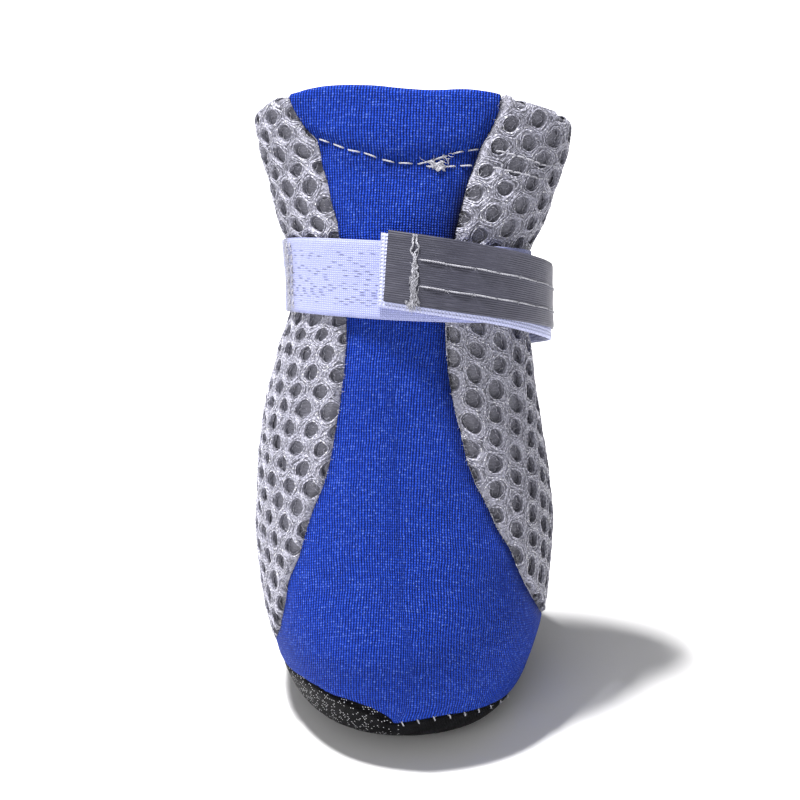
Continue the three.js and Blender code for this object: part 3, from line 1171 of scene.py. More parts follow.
@dataclass
class KnitPanel:
    """The blue knit front from the toe seam up, over the collar and down inside."""

    body: Body
    thick: float = 0.9
    rows: int = 200
    columns: int = 101
    left_sink: float = 0.55
    right_sink: float = 1.15
    sink_width: float = 2.4
    hem_sink: float = 0.55
    second_sink: float = 0.25
    hem_width: float = 1.1
    second_width: float = 0.8
    seam_roll: float = 0.75
    roll_fade: float = 0.45
    sunk_from: float = 14.0
    wave_depth: float = 0.12
    wave_length: float = 21.0
    left_shade: float = 0.5
    right_shade: float = 0.55
    fold_shade: float = 0.5
    hem_shade: float = 0.22
    toe_degrees: tuple[float, float] = (-100.0, 106.0)
    turn_away: float = 62.0
    deepest: float = 1.9

    def depth(self, way: Array, rise: Array, degrees: Array, left: Array, right: Array) -> Array:
        """How far the face lies below the last.

        Args:
            way: Distance along the cloth.
            rise: Height up the last.
            degrees: Angle from the toe.
            left: Angle of the left seam at this height.
            right: Angle of the right seam at this height.

        Returns:
            Depth in millimetres.
        """
        seams = self.body.seams
        radius = self.body.last.radian(rise)
        sink = self.left_sink * bump((degrees - left) * radius, 0.0, self.sink_width)
        sink = sink + self.right_sink * bump((right - degrees) * radius, 0.0, self.sink_width)
        sink = sink * (ease((rise - self.sunk_from) / 12.0) * (1.0 - 0.75 * ease((rise - 109.0) / 6.0)))
        stitched = self.hem_sink * bump(rise, seams.hem.at(degrees), self.hem_width)
        second = self.second_sink * ease((degrees - 6.0) / 4.0)
        stitched = stitched + second * bump(rise, seams.hem_second.at(degrees), self.second_width)
        toe = rise - seams.toe.at(degrees)
        roll = self.seam_roll * np.exp(-np.maximum(toe, 0.0) / self.roll_fade) - 0.15 * bump(toe, 1.3, 0.9)
        soft = self.wave_depth * ripple(degrees * radius, rise, 0.6, self.wave_length)
        total = sink + stitched + self.body.creased(rise, degrees) + roll + soft
        total = np.where(total > 0.0, self.deepest * np.tanh(total / self.deepest), total)
        return np.where(way < self.body.wrap.fold(degrees) + 1.0, total, 0.0)

    def lengths(self, way: Array, rise: Array, degrees: Array) -> tuple[Array, Array]:
        """Lengths on the cloth: round it from its middle, and down it from the collar.

        Args:
            way: Distance along the cloth.
            rise: Height up the last.
            degrees: Angle from the toe.

        Returns:
            Two tables of millimetres.
        """
        wrap = self.body.wrap
        across = gone(wrap.place(way, degrees))
        for row, angles in zip(across, degrees):
            row -= np.interp(0.0, angles, row)
        length = gone(self.body.last.point(wrap.rises, 0.0))
        front = np.interp(rise, wrap.rises, length) - length[-1]
        share = bump(degrees, 0.0, self.turn_away)
        down = front * share + (rise - wrap.rises[-1]) * (1.0 - share)
        return across, down + np.maximum(way - wrap.way(rise), 0.0)

    def build(self, finish: Material) -> Piece:
        """Makes the panel.

        Args:
            finish: Its material.

        Returns:
            The piece.
        """
        wrap = self.body.wrap
        seams = self.body.seams
        share = shares(self.columns)[None, :]
        bottom = wrap.way(seams.toe.at(blend(*self.toe_degrees, share)))
        way = blend(bottom, wrap.end(0.0), shares(self.rows)[:, None])
        rise = wrap.rise(way)
        left = seams.left.at(rise)
        right = seams.right.at(rise)
        degrees = blend(left, right, share)
        depth = self.depth(way, rise, degrees, left, right)
        radius = self.body.last.radian(rise)
        from_right = (right - degrees) * radius
        shade = self.left_shade * np.exp(-np.maximum(degrees - left, 0.0) * radius / 0.5)
        shade += self.right_shade * bump(from_right, 0.0, 1.7)
        shade *= ease((rise - self.sunk_from) / 10.0) * (1.0 - 0.6 * ease((rise - 108.0) / 6.0))
        shade += self.fold_shade * bump(from_right, 0.0, 5.5) * bump(rise, 95.0, 9.0)
        shade += self.hem_shade * bump(rise, seams.hem.at(degrees) - 1.2, 1.6)
        cloth = Cloth("knit_panel")
        cloth.shell(wrap.place(way, degrees, depth), wrap.place(way, degrees, depth + self.thick),
                    join(*self.lengths(way, rise, degrees), shade))
        return cloth.build([finish], Slot.KNIT, ["upper"])


@dataclass
class MeshPanel:
    """One side of spacer mesh, each hole a cell of its own, from the front seam to the heel.

    Flat places are in the millimetres of this side's chart. Each yarn level holds its share of the
    way from the hole's edge to the cell's border, how far it strays, its depth and its thickness.
    """

    body: Body
    side: Side
    first: tuple[float, float]
    second: tuple[float, float]
    start: tuple[float, float]
    seed: int
    hole: float = 1.74
    edge_steps: int = 4
    low: float = 0.95
    jitter: float = 0.34
    lumps: float = 0.07
    edge_turn: float = 1.05
    edge_width: float = 0.75
    wave_depth: float = 0.13
    wave_length: float = 19.0
    heel_edge: float = 179.6
    crown_width: float = 2.8
    crown_flat: float = 0.88
    cells: int = 60
    reach: float = 52.0
    yarn_steps: int = 24
    yarn_sides: int = 3
    yarn_radius: float = 0.115
    yarn_levels: tuple[Level, ...] = (
        (0.10, 0.05, 0.04, 1.0), (0.50, 0.17, 0.0, 0.95), (0.94, 0.22, -0.04, 0.85),
    )
    hole_levels: tuple[Level, ...] = ((-0.45, 0.20, 0.72, 0.5),)
    chart: Chart = field(init=False)

    def __post_init__(self) -> None:
        """Makes the flat chart of this side."""
        self.chart = Chart(self.body.wrap, self.side)

    def outline(self) -> Array:
        """The border of one cell, halfway to each of its six neighbours.

        Returns:
            Points round it, shape (n, 2).
        """
        near = np.array([self.first, self.second, np.add(self.first, self.second)])
        near = np.concatenate([near, -near])
        near = near[np.argsort(np.arctan2(near[:, 1], near[:, 0]))]
        pairs = np.stack([near, np.roll(near, -1, axis=0)], axis=1)
        corners = np.array([np.linalg.solve(pair, (pair**2).sum(axis=1) / 2) for pair in pairs])
        share = (np.arange(self.edge_steps) / self.edge_steps)[None, :, None]
        ahead = np.roll(corners, -1, axis=0)
        return (corners[:, None] * (1 - share) + ahead[:, None] * share).reshape(-1, 2)

    def centres(self) -> Array:
        """Middles of all cells that could touch the panel.

        Returns:
            Flat points, shape (n, 2).
        """
        i, j = np.meshgrid(*[np.arange(-self.cells, self.cells)] * 2)
        spots = i[..., None] * np.array(self.first) + j[..., None] * np.array(self.second)
        spots = spots.reshape(-1, 2) + np.array(self.start)
        top = self.body.wrap.end(0.0) + 4
        return spots[(np.abs(spots[:, 0]) < self.reach) & (spots[:, 1] > 0) & (spots[:, 1] < top)]

    def settle(self, flat: Array, depth: Array) -> tuple[Array, Array, Array]:
        """Lays flat points on the boot, held inside the panel's edges.

        Args:
            flat: Flat points, shape (..., 2).
            depth: Depth below the face for each.

        Returns:
            Points, distance to the nearest edge, and whether each was inside.
        """
        wrap = self.body.wrap
        seams = self.body.seams
        u = flat[..., 0] + self.jitter * ripple(flat[..., 0], flat[..., 1], self.seed, 13.0)
        v = flat[..., 1] + self.jitter * ripple(flat[..., 1], flat[..., 0], self.seed + 0.5, 11.0)
        rise = wrap.rise(v)
        seam = np.abs((seams.left if self.side is Side.LEFT else seams.right).at(rise))
        front = u - self.chart.across(rise, seam)
        heel = self.chart.across(rise, 180.0) - u
        signed = np.clip(self.chart.degrees(rise, u), seam, self.heel_edge) * self.side.value
        bottom = wrap.way(seams.toe.at(signed) + 0.1)
        top = wrap.end(signed)
        inside = (front > 0) & (heel > 0) & (v > bottom) & (v < top)
        held = np.clip(v, bottom, top)
        near = np.minimum(np.minimum(front, heel + 0.2), np.minimum(v - bottom + 0.3, top - v + 0.6))
        near = np.maximum(near, 0.0)
        depth = depth * (1.0 - self.crown_flat * bump(wrap.over(held, signed), 0.0, self.crown_width))
        turned = self.edge_turn * bump(near, 0.0, self.edge_width) - 0.18 * bump(near, 1.7, 0.9)
        creased = np.where(held < wrap.fold(signed), self.body.creased(wrap.rise(held), signed), 0.0)
        waves = self.wave_depth * ripple(u, v, self.seed + 2.0, self.wave_length)
        return wrap.place(held, signed, depth + turned + creased + waves), near, inside

    def build(self, finish: Material, yarn: Material) -> Piece:
        """Makes the panel and its yarns.

        Args:
            finish: Its material.
            yarn: Material of its yarns.

        Returns:
            The panel.
        """
        random = np.random.default_rng(self.seed)
        outline = self.outline()
        centres = self.centres()
        count = len(centres)
        turn = np.arctan2(outline[:, 1], outline[:, 0])
        way = np.stack([np.cos(turn), np.sin(turn)], axis=1)
        size = self.hole * random.uniform(0.9, 1.1, count)
        slide = random.normal(0.0, 0.10, (count, 2))
        oval = 1.0 + 0.06 * np.cos(2 * turn[None, :] + random.uniform(0, 6.28, count)[:, None])
        rim = slide[:, None] + way[None] * (size[:, None] * oval)[..., None]
        gap = np.linalg.norm(outline - rim, axis=2)
        rings = (
            (rim * 0.95, self.low, gap * 0 - 0.9), (rim * 0.98, 0.6, gap * 0 - 0.45), (rim, 0.28, gap * 0),
            (blend(rim, outline, 0.22), 0.06, gap * 0.22), (blend(rim, outline, 0.6), 0.0, gap * 0.6),
            (outline, 0.05, gap),
        )
        flat = np.stack([centres[:, None] + place for place, _, _ in rings], axis=1)
        low = np.array([depth for _, depth, _ in rings])[:, None]
        away = np.stack([distance for _, _, distance in rings], axis=1)
        lumps = self.lumps * ripple(flat[..., 0] * 3.0, flat[..., 1] * 3.0, self.seed + 7.0, 6.0)
        points, near, inside = self.settle(flat, low + np.where(away > 0, lumps, 0.0))
        keep = inside.any(axis=(1, 2))
        chance = random.uniform(0, 1, count)[:, None, None]
        cloth = Cloth(f"mesh_panel_{self.side.name.lower()}")
        self.repeat(cloth, points[keep], (False, True), self.side is Side.LEFT,
                    cell=join(away, chance, near)[keep], weave=join(flat[..., 0], flat[..., 1])[keep],
                    ring=join(way[:, 0], way[:, 1], 0.0 * near)[keep])
        LOG.info("%s: %d holes", cloth.name, keep.sum())
        for name, levels in (("mesh_yarns", self.yarn_levels), ("hole_yarns", self.hole_levels)):
            yarns = Cloth(f"{name}_{self.side.name.lower()}")
            for level in levels:
                self.yarn(yarns, level, centres[keep], slide[keep], size[keep], random)
            yarns.build([yarn], Slot.NET)
        return cloth.build([finish], Slot.NET)

    def repeat(self, cloth: Cloth, points: Array, closed: tuple[bool, bool], turned: bool,
               **values: Array) -> None:
        """Adds many grids of the same shape.

        Args:
            cloth: Where they go.
            points: Shape (grids, rows, columns, 3).
            closed: Whether rows and columns join round on themselves.
            turned: Whether the faces look the other way.
            **values: Named vectors for each point.
        """
        count, rows, columns = points.shape[:3]
        one = quads(rows, columns, closed)[:, ::-1 if turned else 1]
        faces = one[None] + (np.arange(count) * rows * columns)[:, None, None]
        cloth.add(points, faces.reshape(-1, 4), **values)

    def yarn(self, cloth: Cloth, level: Level, centres: Array, slide: Array, size: Array,
             random: np.random.Generator) -> None:
        """Adds one yarn round every hole.

        Args:
            cloth: Where they go.
            level: How the yarn lies.
            centres: Middles of the cells.
            slide: How far each hole lies off its middle.
            size: Radius of each hole.
            random: Source of chance.
        """
        share, swing, low, thin = level
        outline = self.outline()
        around = np.linspace(0.0, len(outline), self.yarn_steps, endpoint=False)
        index = around.astype(int)
        part = (around - index)[:, None]
        far = outline[index] * (1 - part) + outline[(index + 1) % len(outline)] * part
        way = unit(far)
        turn = np.arctan2(way[:, 1], way[:, 0])[None, :]
        phase = random.uniform(0, TURN, (3, len(centres), 1))
        sway = np.cos(2 * turn + phase[0]) + 0.8 * np.cos(3 * turn + phase[1])
        sway += 0.5 * np.cos(5 * turn + phase[2])
        rim = slide[:, None] + way[None] * size[:, None, None]
        flat = centres[:, None] + rim + (far[None] - rim) * (share + swing * sway)[..., None]
        height = low - 0.06 * np.cos(4 * turn + phase[1]) - 0.05 * np.cos(7 * turn + phase[2])
        path, _, inside = self.settle(flat, height)
        higher, _, _ = self.settle(flat, height - 0.5)
        keep = inside.mean(axis=1) > 0.3
        path = path[keep]
        up = unit(higher[keep] - path)
        across = unit(np.cross(np.roll(path, -1, axis=1) - np.roll(path, 1, axis=1), up))
        length = np.linalg.norm(path - np.roll(path, 1, axis=1), axis=2).cumsum(axis=1)
        thick = self.yarn_radius * thin * random.uniform(0.75, 1.2, (len(path), 1))
        thick = thick * (1.0 + 0.22 * np.sin(length * TURN / 0.9))
        corner = ((np.arange(self.yarn_sides) + 0.25) / self.yarn_sides * TURN)[:, None]
        ring = across[:, :, None] * np.cos(corner) + up[:, :, None] * np.sin(corner)
        points = path[:, :, None] + thick[..., None, None] * ring
        chance = random.uniform(0, 1, (len(path), 1, 1))
        weave = join(length[..., None], chance, 0.0 * points[..., 0])
        self.repeat(cloth, points, (True, True), False, weave=weave)


@dataclass
class Liner:
    """The tube behind the mesh: a dark face outside and the lining inside."""

    body: Body
    face: float = 1.1
    back: float = 2.35
    filler: float = 1.2
    filler_raise: float = 0.75
    filler_thick: float = 0.2
    rows: int = 84
    columns: int = 144
    rim_rows: int = 34
    bottom: float = 5.2
    radius: float = 26.0
    under_rim: float = 1.0
    knit_room: float = 1.4
    knit_back: float = 0.5

    def under_knit(self, rise: Array, degrees: Array) -> Array:
        """Where the tube lies behind the knit, from 0 to 1."""
        left, right = self.body.seams.left.at(rise), self.body.seams.right.at(rise)
        return ease((degrees - left + 5.0) / 4.0) * ease((right + 5.0 - degrees) / 4.0)

    def build(self, backing: Material, lining: Material) -> Piece:
        """Makes the tube and the filler under the rim.

        Args:
            backing: Material of its outside.
            lining: Material of its inside.

        Returns:
            The piece.
        """
        wrap = self.body.wrap
        degrees = round_about(self.columns)[None, :]
        around = np.radians(degrees) * self.radius
        way = blend(wrap.way(self.bottom), wrap.fold(degrees) - self.under_rim, shares(self.rows)[:, None])
        rise = wrap.rise(way)
        creased = self.body.creased(rise, degrees)
        under = self.under_knit(rise, degrees)
        cloth = Cloth("liner")
        cloth.shell(wrap.place(way, degrees, self.face + creased + self.knit_room * under),
                    wrap.place(way, degrees, self.back + creased + self.knit_back * under),
                    join(around, way), True, (0, 1))
        way = blend(wrap.fold(degrees) - 3.0, wrap.end(degrees), shares(self.rim_rows)[:, None])
        rise = wrap.rise(way)
        under = self.under_knit(rise, degrees)
        crown = bump(wrap.over(way, degrees), 0.0, 2.8)
        outside = ease((wrap.fold(degrees) + 1.5 - way) / 3.0)
        depth = self.filler - self.filler_raise * crown * (1.0 - under) + under * (1.15 * outside - 0.25)
        depth += np.where(way < wrap.fold(degrees), self.body.creased(rise, degrees), 0.0)
        cloth.shell(wrap.place(way, degrees, depth), wrap.place(way, degrees, depth + self.filler_thick),
                    join(around, way), True)
        return cloth.build([backing, lining], Slot.LINING)


@dataclass
class Sole:
    """The turned-up sole: its underside, bars, side band, and the edge that tucks under."""

    body: Body
    floor: float = 2.6
    wall: float = 2.4
    columns: int = 240
    under_rings: int = 26
    side_rings: int = 16
    radius: float = 27.0
    bar_height: float = 1.0
    bar_sink: float = 1.2
    bar_length: float = 3.2
    bar_pitch: float = 5.2
    bar_margin: float = 3.2
    bar_round: float = 0.35
    bar_rings: int = 9
    bar_points: int = 15
    forefoot_bars: int = 5
    heel_bars: int = 3
    forefoot_start: float = -1.6
    heel_start: float = -11.0
    arch_lift: float = 0.8
    arch_centre: float = -6.5
    arch_half: float = 7.0
    plain: float = -9.0

    def bar(self, start: float, end: float) -> Array:
        """Sections of one rounded bar across the underside.

        Args:
            start: Where it begins, forward of the middle.
            end: Where it ends.

        Returns:
            Rings of points, shape (rings, points, 3).
        """
        last = self.body.last
        soft = self.bar_round
        across = np.concatenate([np.linspace(-1, 1, self.bar_points), np.linspace(1, -1, self.bar_points)])
        low = np.arange(len(across)) < self.bar_points
        ends = soft * np.maximum(np.abs(across) - 0.9, 0.0) / 0.1
        rings = []
        for share in shares(self.bar_rings):
            forward = blend(start, end, share)
            edge = min(share, 1 - share) * (end - start)
            shrink = soft - math.sqrt(max(soft**2 - max(soft - edge, 0.0) ** 2, 0.0))
            facing = "front" if forward > 0 else "back"
            names = (facing, f"square_{facing}", "mid", "half", "shift")
            depth, power, mid, half, shift = (float(last.column(name, last.bottom)) for name in names)
            out = abs(-forward - mid) / (depth - self.bar_margin)
            reach = (half - self.bar_margin) * max(1 - out**power, 0.0) ** (1 / power) - shrink
            lift = last.spring(forward)
            level = np.where(low, lift + shrink + ends, lift + self.bar_height + self.bar_sink)
            rings.append(join(shift + last.swing(-forward) + across * reach, -forward, level))
        return np.array(rings)

    def arched(self, ring: Array) -> Array:
        """The ring's points lifted at the arch."""
        return ring + join(0.0, 0.0, self.arch_lift * bump(-ring[:, 1], self.arch_centre, self.arch_half))

    def drawn(self, ring: Array, share: float) -> Array:
        """The ring drawn in to a share of its size.

        Args:
            ring: Points, shape (n, 3).
            share: The share.

        Returns:
            The new points, at the same height over the sole's spring.
        """
        spring = self.body.last.spring
        inner = ring * np.array([share, share, 1.0])
        inner[:, 2] = ring[:, 2] - spring(-ring[:, 1]) + spring(-inner[:, 1])
        return inner

    def build(self, side_finish: Material, under_finish: Material) -> Piece:
        """Makes the sole.

        Args:
            side_finish: Material of the turned-up band.
            under_finish: Material of the underside and bars.

        Returns:
            The piece.
        """
        last = self.body.last
        degrees = round_about(self.columns)
        edge = self.body.seams.toe.at(degrees)
        outer = last.point(last.bottom, degrees)
        rings = [self.arched(self.drawn(outer, share)) for share in np.linspace(0.02, 0.98, self.under_rings)]
        rings.append(self.arched(outer))
        for share in np.linspace(0.06, 1.0, self.side_rings):
            rise = last.bottom + (edge - 0.7 - last.bottom) * share
            fabric = 0.05 * ripple(degrees * 0.5, rise, 3.3, 4.0)
            rings.append(last.point(rise, degrees, fabric - 0.12 * math.sin(share * math.pi)))
        for up, depth in ((-0.3, 0.12), (0.0, 0.5), (0.9, 0.95), (1.6, 1.3), (1.2, self.wall - 0.05)):
            rings.append(last.point(edge + up, degrees, depth))
        inner = last.point(last.bottom + self.floor, degrees, self.wall)
        rings += [inner] + [self.drawn(inner, share) for share in (0.85, 0.6, 0.3, 0.02)]
        points = np.array(rings)
        # Painted glints only on the left of the band, where the key light falls; the right side and the
        # underside get none.
        glint_amount = -ease((degrees + 10.0) / 30.0) * 6.0
        side = join(np.radians(degrees) * self.radius, points[..., 2], glint_amount)
        flat = join(points[..., 0], points[..., 1], self.plain)
        under = self.under_rings
        cloth = Cloth("sole_cup")
        cloth.tubular(points[:under + 1], 1, weave=flat[:under + 1])
        cloth.tubular(points[under:], 0, weave=side[under:])
        starts = [self.forefoot_start + k * self.bar_pitch for k in range(self.forefoot_bars)]
        starts += [self.heel_start - k * self.bar_pitch - self.bar_length for k in range(self.heel_bars)]
        for start in starts:
            bar = self.bar(start, start + self.bar_length)
            cloth.tubular(bar, 1, weave=join(bar[..., 0], bar[..., 1]))
        return cloth.build([side_finish, under_finish], Slot.SOLE, ["sole"], crease=50.0)


@dataclass
class Insole:
    """A thin soft pad on the floor of the cup; its rings are (share of the way out, height)."""

    body: Body
    low: float = 3.844
    thick: float = 1.6
    inset: float = 2.9
    crown: float = 0.35
    columns: int = 120
    rings: tuple[tuple[float, float], ...] = (
        (0.02, 0.0), (0.5, 0.0), (0.94, 0.0), (0.99, 0.2), (1.0, 0.5), (0.985, 0.82), (0.95, 0.96),
        (0.85, 1.0), (0.7, 1.0), (0.5, 1.0), (0.3, 1.0), (0.02, 1.0),
    )

    def build(self, finish: Material) -> Piece:
        """Makes the pad.

        Args:
            finish: Its material.

        Returns:
            The piece.
        """
        last = self.body.last
        outline = last.point(self.low, round_about(self.columns), self.inset)
        share, height = (column[:, None] for column in np.array(self.rings).T)
        x, y = outline[:, 0] * share, outline[:, 1] * share
        puff = self.crown * height * (1 - share**2)
        dent = 0.12 * ripple(x, y, 1.1, 9.0) * height * (share < 0.9)
        lift = last.spring(-y) * (1 - self.low / last.spring_fade)
        cloth = Cloth("insole_pad")
        cloth.tubular(join(x, y, self.low + self.thick * height + puff + dent + lift), weave=join(x, y))
        piece = cloth.build([finish], Slot.LINING, ["insole"])
        return piece


@dataclass(frozen=True)
class StrapLine:
    """Where the strap runs round the ankle."""

    rise: float = 84.4
    slope: float = -0.4
    back_drop: float = 4.0
    tab_raise: float = 2.3
    tab_fall: float = 0.044
    rise_per_width: float = 0.9
    stand_off: float = 2.4
    turn_angle: float = 92.0
    turn_spread: float = 34.0

    def middle(self, degrees: Number, tab: bool) -> Number:
        """Height of the middle of the tape or of the tab over it.

        Args:
            degrees: Angle from the toe.
            tab: Whether it is the tab.

        Returns:
            Height up the last.
        """
        angle = np.radians(degrees)
        behind = (1 - np.cos(angle)) / 2
        level = self.rise + self.slope * np.sin(angle) - self.back_drop * behind**2
        return level + (self.tab_raise - self.tab_fall * degrees if tab else 0.0)

    def lift(self, degrees: Number) -> Number:
        """How far the tab's loop stands off the ankle at an angle from the toe."""
        return self.stand_off * bump(degrees, self.turn_angle, self.turn_spread)


@dataclass
class Band:
    """A flat band round the ankle with soft edges."""

    body: Body
    line: StrapLine
    name: str
    start: float
    end: float
    width: float
    inner: float
    thick: float
    tab: bool
    lower: float = 0.0
    sag: float = 0.0
    slant: float = 0.0
    follow: float = 0.25
    columns: int = 19
    step: float = 1.2
    soft: float = 0.3
    soft_width: float = 0.22
    wave: float = 0.06
    dirt_at: Optional[float] = None
    dirt_spread: float = 8.0

    def surface(self, degrees: Number, across: Number, off: Number) -> Array:
        """A point of the band.

        Args:
            degrees: Angle from the toe.
            across: -0.5 at the lower edge to 0.5 at the upper.
            off: Distance outside the last.

        Returns:
            Points in millimetres.
        """
        last = self.body.last
        middle = self.line.middle(degrees, self.tab) - self.lower - self.sag * ease((degrees - 35.0) / 60.0)
        half = self.width / 2 * self.line.rise_per_width
        out = off + (self.line.lift(degrees) if self.tab else 0.0)
        top = last.point(middle + half, degrees, -out)
        bottom = last.point(middle - half, degrees, -out)
        share = np.asarray(across)[..., None] + 0.5
        skin = last.point(middle + 2 * half * np.asarray(across), degrees, -out)
        return (bottom * (1 - share) + top * share) * (1 - self.follow) + skin * self.follow

    def face(self, degrees: Number, across: Number, over: Number) -> Array:
        """A point over the band's outer face."""
        return self.surface(degrees, across, self.inner + self.thick + over)

    def build(self, finish: Material, slot: Slot, node: str) -> Piece:
        """Makes the band.

        Args:
            finish: Its material.
            slot: The material slot, handed on to Cloth.build.
            node: The CAD node it stands for.

        Returns:
            The piece.
        """
        share = shares(int(abs(self.end - self.start) / self.step) + 2)[:, None]
        rounded = np.sin(np.linspace(-math.pi / 2, math.pi / 2, self.columns))[None, :] / 2
        across = 0.5 * rounded + 0.5 * np.linspace(-0.5, 0.5, self.columns)[None, :]
        degrees = blend(self.start + self.slant * across * 2, self.end, share)
        off = self.soft * self.thick * np.exp(-(0.5 - np.abs(across)) * self.width / self.soft_width)
        ragged = self.wave * ripple(degrees * 0.6, across * self.width, self.inner, 7.0)
        outer = self.face(degrees, across, ragged - off)
        inner = self.surface(degrees, across, self.inner + off * 0.6 + ragged)
        middle = self.columns // 2
        turned = np.sign(self.end - self.start)
        along = gone(outer[:, middle])
        along = (along - np.interp(0.0, degrees[:, middle] * turned, along)) * turned
        dirt = 0.0 if self.dirt_at is None else bump(degrees, self.dirt_at, self.dirt_spread)
        weave = join(along[:, None], across * self.width, dirt)
        order = slice(None, None, int(turned))
        cloth = Cloth(self.name)
        cloth.shell(outer[order], inner[order], weave[order])
        return cloth.build([finish], slot, [node], crease=60.0)


@dataclass
class Stitching:
    """Two-ply thread sewn through the cloth along drawn lines, and loose fibres."""

    cloth: Cloth
    ply: float = 0.105
    pitch: float = 2.9
    twist: float = 1.05
    step: float = 0.17
    stitch_steps: int = 9
    fibre_steps: int = 7
    random: np.random.Generator = field(default_factory=lambda: np.random.default_rng(11))

    def strand(self, path: Array, ply: Optional[float] = None) -> None:
        """Adds two plies twisted round a path.

        Args:
            path: Points, shape (n, 3).
            ply: Radius of each ply.
        """
        size = self.ply if ply is None else ply
        length = gone(path)
        fine = np.linspace(0.0, length[-1], max(int(length[-1] / self.step), 4))
        path = np.stack([np.interp(fine, length, path[:, k]) for k in range(3)], axis=1)
        along = unit(np.gradient(path, axis=0))
        across = unit(np.cross(along, (0.2, 0.35, 0.91)))
        other = np.cross(along, across)
        taper = size * np.clip(np.minimum(fine, fine[-1] - fine) / 0.2, 0.45, 1.0)
        for start in (0.0, math.pi):
            turn = (fine / self.twist * TURN + start)[:, None]
            middle = path + size * 0.9 * (across * np.cos(turn) + other * np.sin(turn))
            self.cloth.tube(middle, taper, 5, join(fine, start))

    def row(self, place: Callable[[Array, Array], Array], length: float, pitch: Optional[float] = None,
            gap: float = 0.18, high: float = 0.30, low: float = -0.25) -> None:
        """Adds a row of stitches.

        Args:
            place: Gives points for shares of the row and heights over the cloth.
            length: Length of the row.
            pitch: Length of one stitch.
            gap: Share of the pitch between stitches.
            high: Height of a stitch's middle.
            low: Height of its ends.
        """
        count = max(int(round(length / (pitch or self.pitch))), 1)
        t = shares(self.stitch_steps)
        for k in range(count):
            start = (k + gap * self.random.uniform(0.4, 1.0)) / count
            end = (k + 1 - gap * 0.3) / count
            height = low + (high - low) * np.sin(math.pi * t) ** 0.6 * self.random.uniform(0.85, 1.15)
            self.strand(place(blend(start, end, t), height))

    def fibre(self, start: Array, direction: Array, length: float, curl: float, radius: float) -> None:
        """Adds one loose curling fibre.

        Args:
            start: Where it leaves the cloth.
            direction: Which way it points.
            length: Its length.
            curl: How much it wanders.
            radius: Its radius at the root.
        """
        steps = self.fibre_steps
        turn = self.random.normal(0.0, curl, (steps, 3)).cumsum(axis=0) / steps
        path = start + np.cumsum(unit(unit(direction) + turn) * length / steps, axis=0)
        self.cloth.tube(path, radius * np.linspace(1.0, 0.5, steps), 3, join(length * shares(steps), length))


